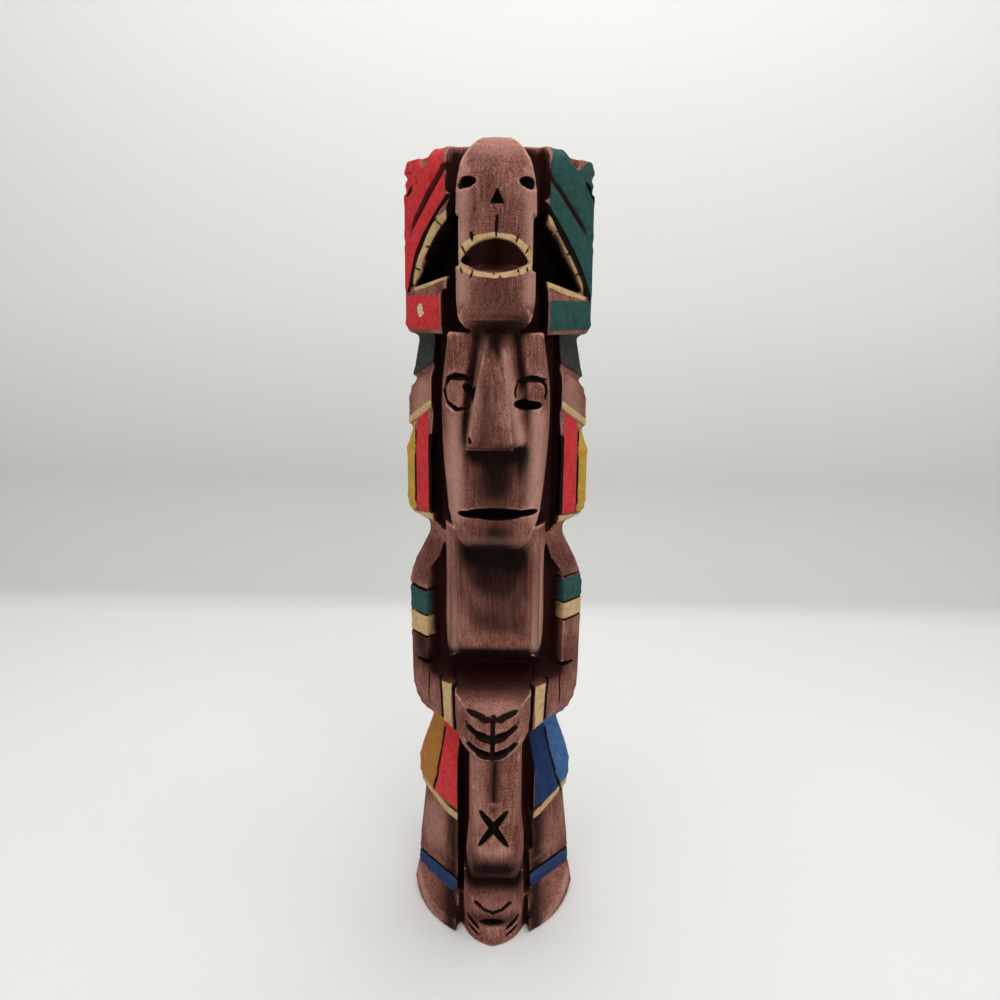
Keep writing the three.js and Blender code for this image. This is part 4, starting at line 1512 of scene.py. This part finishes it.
@dataclass
class Studio:
    """A pale sweep, soft lamps and the camera."""

    camera_place: Point = (0.0089, -0.2858, 0.250)
    pitch: float = 14.2
    roll: float = 0.55
    turn: float = -1.5
    lens: float = 27.07
    sweep_start: float = 0.29
    sweep_radius: float = 0.1
    # Painted light on the card: darker where the floor bends up, lighter up the wall, as light from above
    # falls.
    card_painted_light: tuple[tuple[float, Colour], ...] = (
        (0.0, (226, 226, 224)),
        (0.015, (202, 202, 199)),
        (0.13, (208, 208, 205)),
        (0.52, (230, 230, 227)),
        (0.9, (236, 236, 233)),
    )
    lamps: tuple[tuple[str, Point, Point, float, float], ...] = (
        ("overhead", (0.08, -0.08, 1.1), (0, 0, 0.1), 0.9, 8.2),
        ("front_right", (0.5, -0.9, 0.6), (0, 0, 0.15), 0.6, 2.4),
        ("front_left", (-0.6, -0.7, 0.5), (0, 0, 0.15), 0.6, 1.4),
        ("over_the_wall", (0, 0.05, 0.95), (0, 0.4, 0.6), 0.5, 0.9),
    )
    room_colour: Colour = (240, 240, 238)
    room_strength: float = 0.26

    def sweep(self) -> None:
        """The floor, which bends up into a wall behind the pole, its card painted darker at the bend and
        lighter up the wall like light from above.
        """
        deselect_all()
        bpy.ops.mesh.primitive_plane_add(size=1, location=(0, 0, 0))
        floor = bpy.context.object
        floor.name = "floor"
        floor.scale = (4, 3, 1)
        floor.location = (0, self.sweep_start + self.sweep_radius - 1.5, 0)
        bpy.ops.object.transform_apply(location=True, scale=True)
        back = self.sweep_start + self.sweep_radius
        bpy.ops.object.mode_set(mode="EDIT")
        bpy.ops.mesh.select_all(action="DESELECT")
        bpy.ops.object.mode_set(mode="OBJECT")
        for edge in floor.data.edges:
            edge.select = all(floor.data.vertices[i].co.y > back - 0.01 for i in edge.vertices)
        bpy.ops.object.mode_set(mode="EDIT")
        bpy.ops.mesh.select_mode(type="EDGE")
        bpy.ops.mesh.extrude_region_move(TRANSFORM_OT_translate={"value": (0, 0, 2.0)})
        bpy.ops.object.mode_set(mode="OBJECT")
        for edge in floor.data.edges:
            ends = [floor.data.vertices[i].co for i in edge.vertices]
            edge.select = all(c.y > back - 0.01 and c.z < 0.01 for c in ends)
        bpy.ops.object.mode_set(mode="EDIT")
        bpy.ops.mesh.bevel(offset=self.sweep_radius, segments=24, affect="EDGES")
        bpy.ops.mesh.select_all(action="SELECT")
        bpy.ops.mesh.normals_make_consistent(inside=False)
        bpy.ops.object.mode_set(mode="OBJECT")
        floor.data.shade_smooth()
        sheet = Sheet("card_with_painted_light")
        place = sheet.node("ShaderNodeTexCoord", {}, {}).outputs["Object"]
        height = Field(sheet, sheet.node("ShaderNodeSeparateXYZ", {}, {0: place}).outputs[2])
        # Painted light and shade: the card's colour follows height, darkest just above the floor.
        shade = sheet.ramp(height * 2, self.card_painted_light)
        shader = sheet.node("ShaderNodeBsdfPrincipled", {}, {"Base Color": shade, "Roughness": 0.9})
        sheet.node("ShaderNodeOutputMaterial", {}, {"Surface": shader.outputs[0]})
        floor.data.materials.append(sheet.material)
        floor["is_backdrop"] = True

    def lamp(self, name: str, place: Point, aim: Point, size: float, power: float) -> None:
        """A square soft lamp that faces a point.

        Args:
            name: Its name.
            place: Where it hangs.
            aim: What it faces.
            size: Its side.
            power: Its power in watts.
        """
        data = bpy.data.lights.new(name, "AREA")
        data.size = size
        data.energy = power
        thing = bpy.data.objects.new(name, data)
        thing.location = place
        thing.rotation_euler = (Vector(aim) - Vector(place)).to_track_quat("-Z", "Y").to_euler()
        thing.visible_camera = False
        bpy.context.scene.collection.objects.link(thing)

    def light(self) -> None:
        """The lamps, and pale light from all round."""
        for lamp in self.lamps:
            self.lamp(*lamp)
        world = bpy.data.worlds.new("room")
        world.use_nodes = True
        background = next(n for n in world.node_tree.nodes if n.type == "BACKGROUND")
        background.inputs[0].default_value = linear(self.room_colour)
        background.inputs[1].default_value = self.room_strength
        bpy.context.scene.world = world

    def camera(self) -> None:
        """Sets the camera a little above the pole's middle, looking down at it."""
        pitch, roll, turn = (math.radians(a) for a in (self.pitch, self.roll, self.turn))
        ahead = Vector((0, math.cos(pitch), -math.sin(pitch)))
        right = Vector((1, 0, 0))
        up = right.cross(ahead)
        rolled = right * math.cos(roll) + up * math.sin(roll)
        raised = up * math.cos(roll) - right * math.sin(roll)
        basis = Matrix((rolled, raised, -ahead)).transposed()
        basis = Matrix.Rotation(-turn, 3, "Z") @ basis
        data = bpy.data.cameras.new("camera")
        data.lens = self.lens
        data.sensor_width = 36
        thing = bpy.data.objects.new("camera", data)
        thing.matrix_world = Matrix.Translation(self.camera_place) @ basis.to_4x4()
        bpy.context.scene.collection.objects.link(thing)
        bpy.context.scene.camera = thing

    def build(self) -> None:
        """Sets up the whole studio."""
        self.camera()
        self.sweep()
        self.light()
        bpy.context.scene.view_settings.view_transform = "Standard"


def main() -> None:
    """Loads the frame, reads the solid's box to place the log's axis, and dresses the pole."""
    logging.basicConfig(level=logging.INFO, format="%(name)s: %(message)s")
    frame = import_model()
    cad_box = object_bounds()
    axis_y = cad_box[1].y - BACK_REACH * MM
    Studio().build()
    LOG.info("studio: sweep, lamps and camera are up")
    beast, mask, lower = BeastCuts(), MaskCuts(), LowerCuts()
    groups = (beast, mask, HandCuts(), ArmCuts(), lower)
    lines = beast.carved() + mask.carved() + lower.carved()
    pole = CarvedPole(
        node=frame["nodes"][NODE],
        axis_y=axis_y,
        filled=beast.filled(),
        carved=lines + beast.bands(),
        inked=lines + [cut for group in groups for cut in group.inked()],
        voxel=0.5,
        rays=24,
    )
    piece = pole.build()
    piece.data.materials.append(PoleFinish().finish())
    LOG.info("carving: %d triangles", sum(len(p.vertices) - 2 for p in piece.data.polygons))


if __name__ == "__main__":
    main()
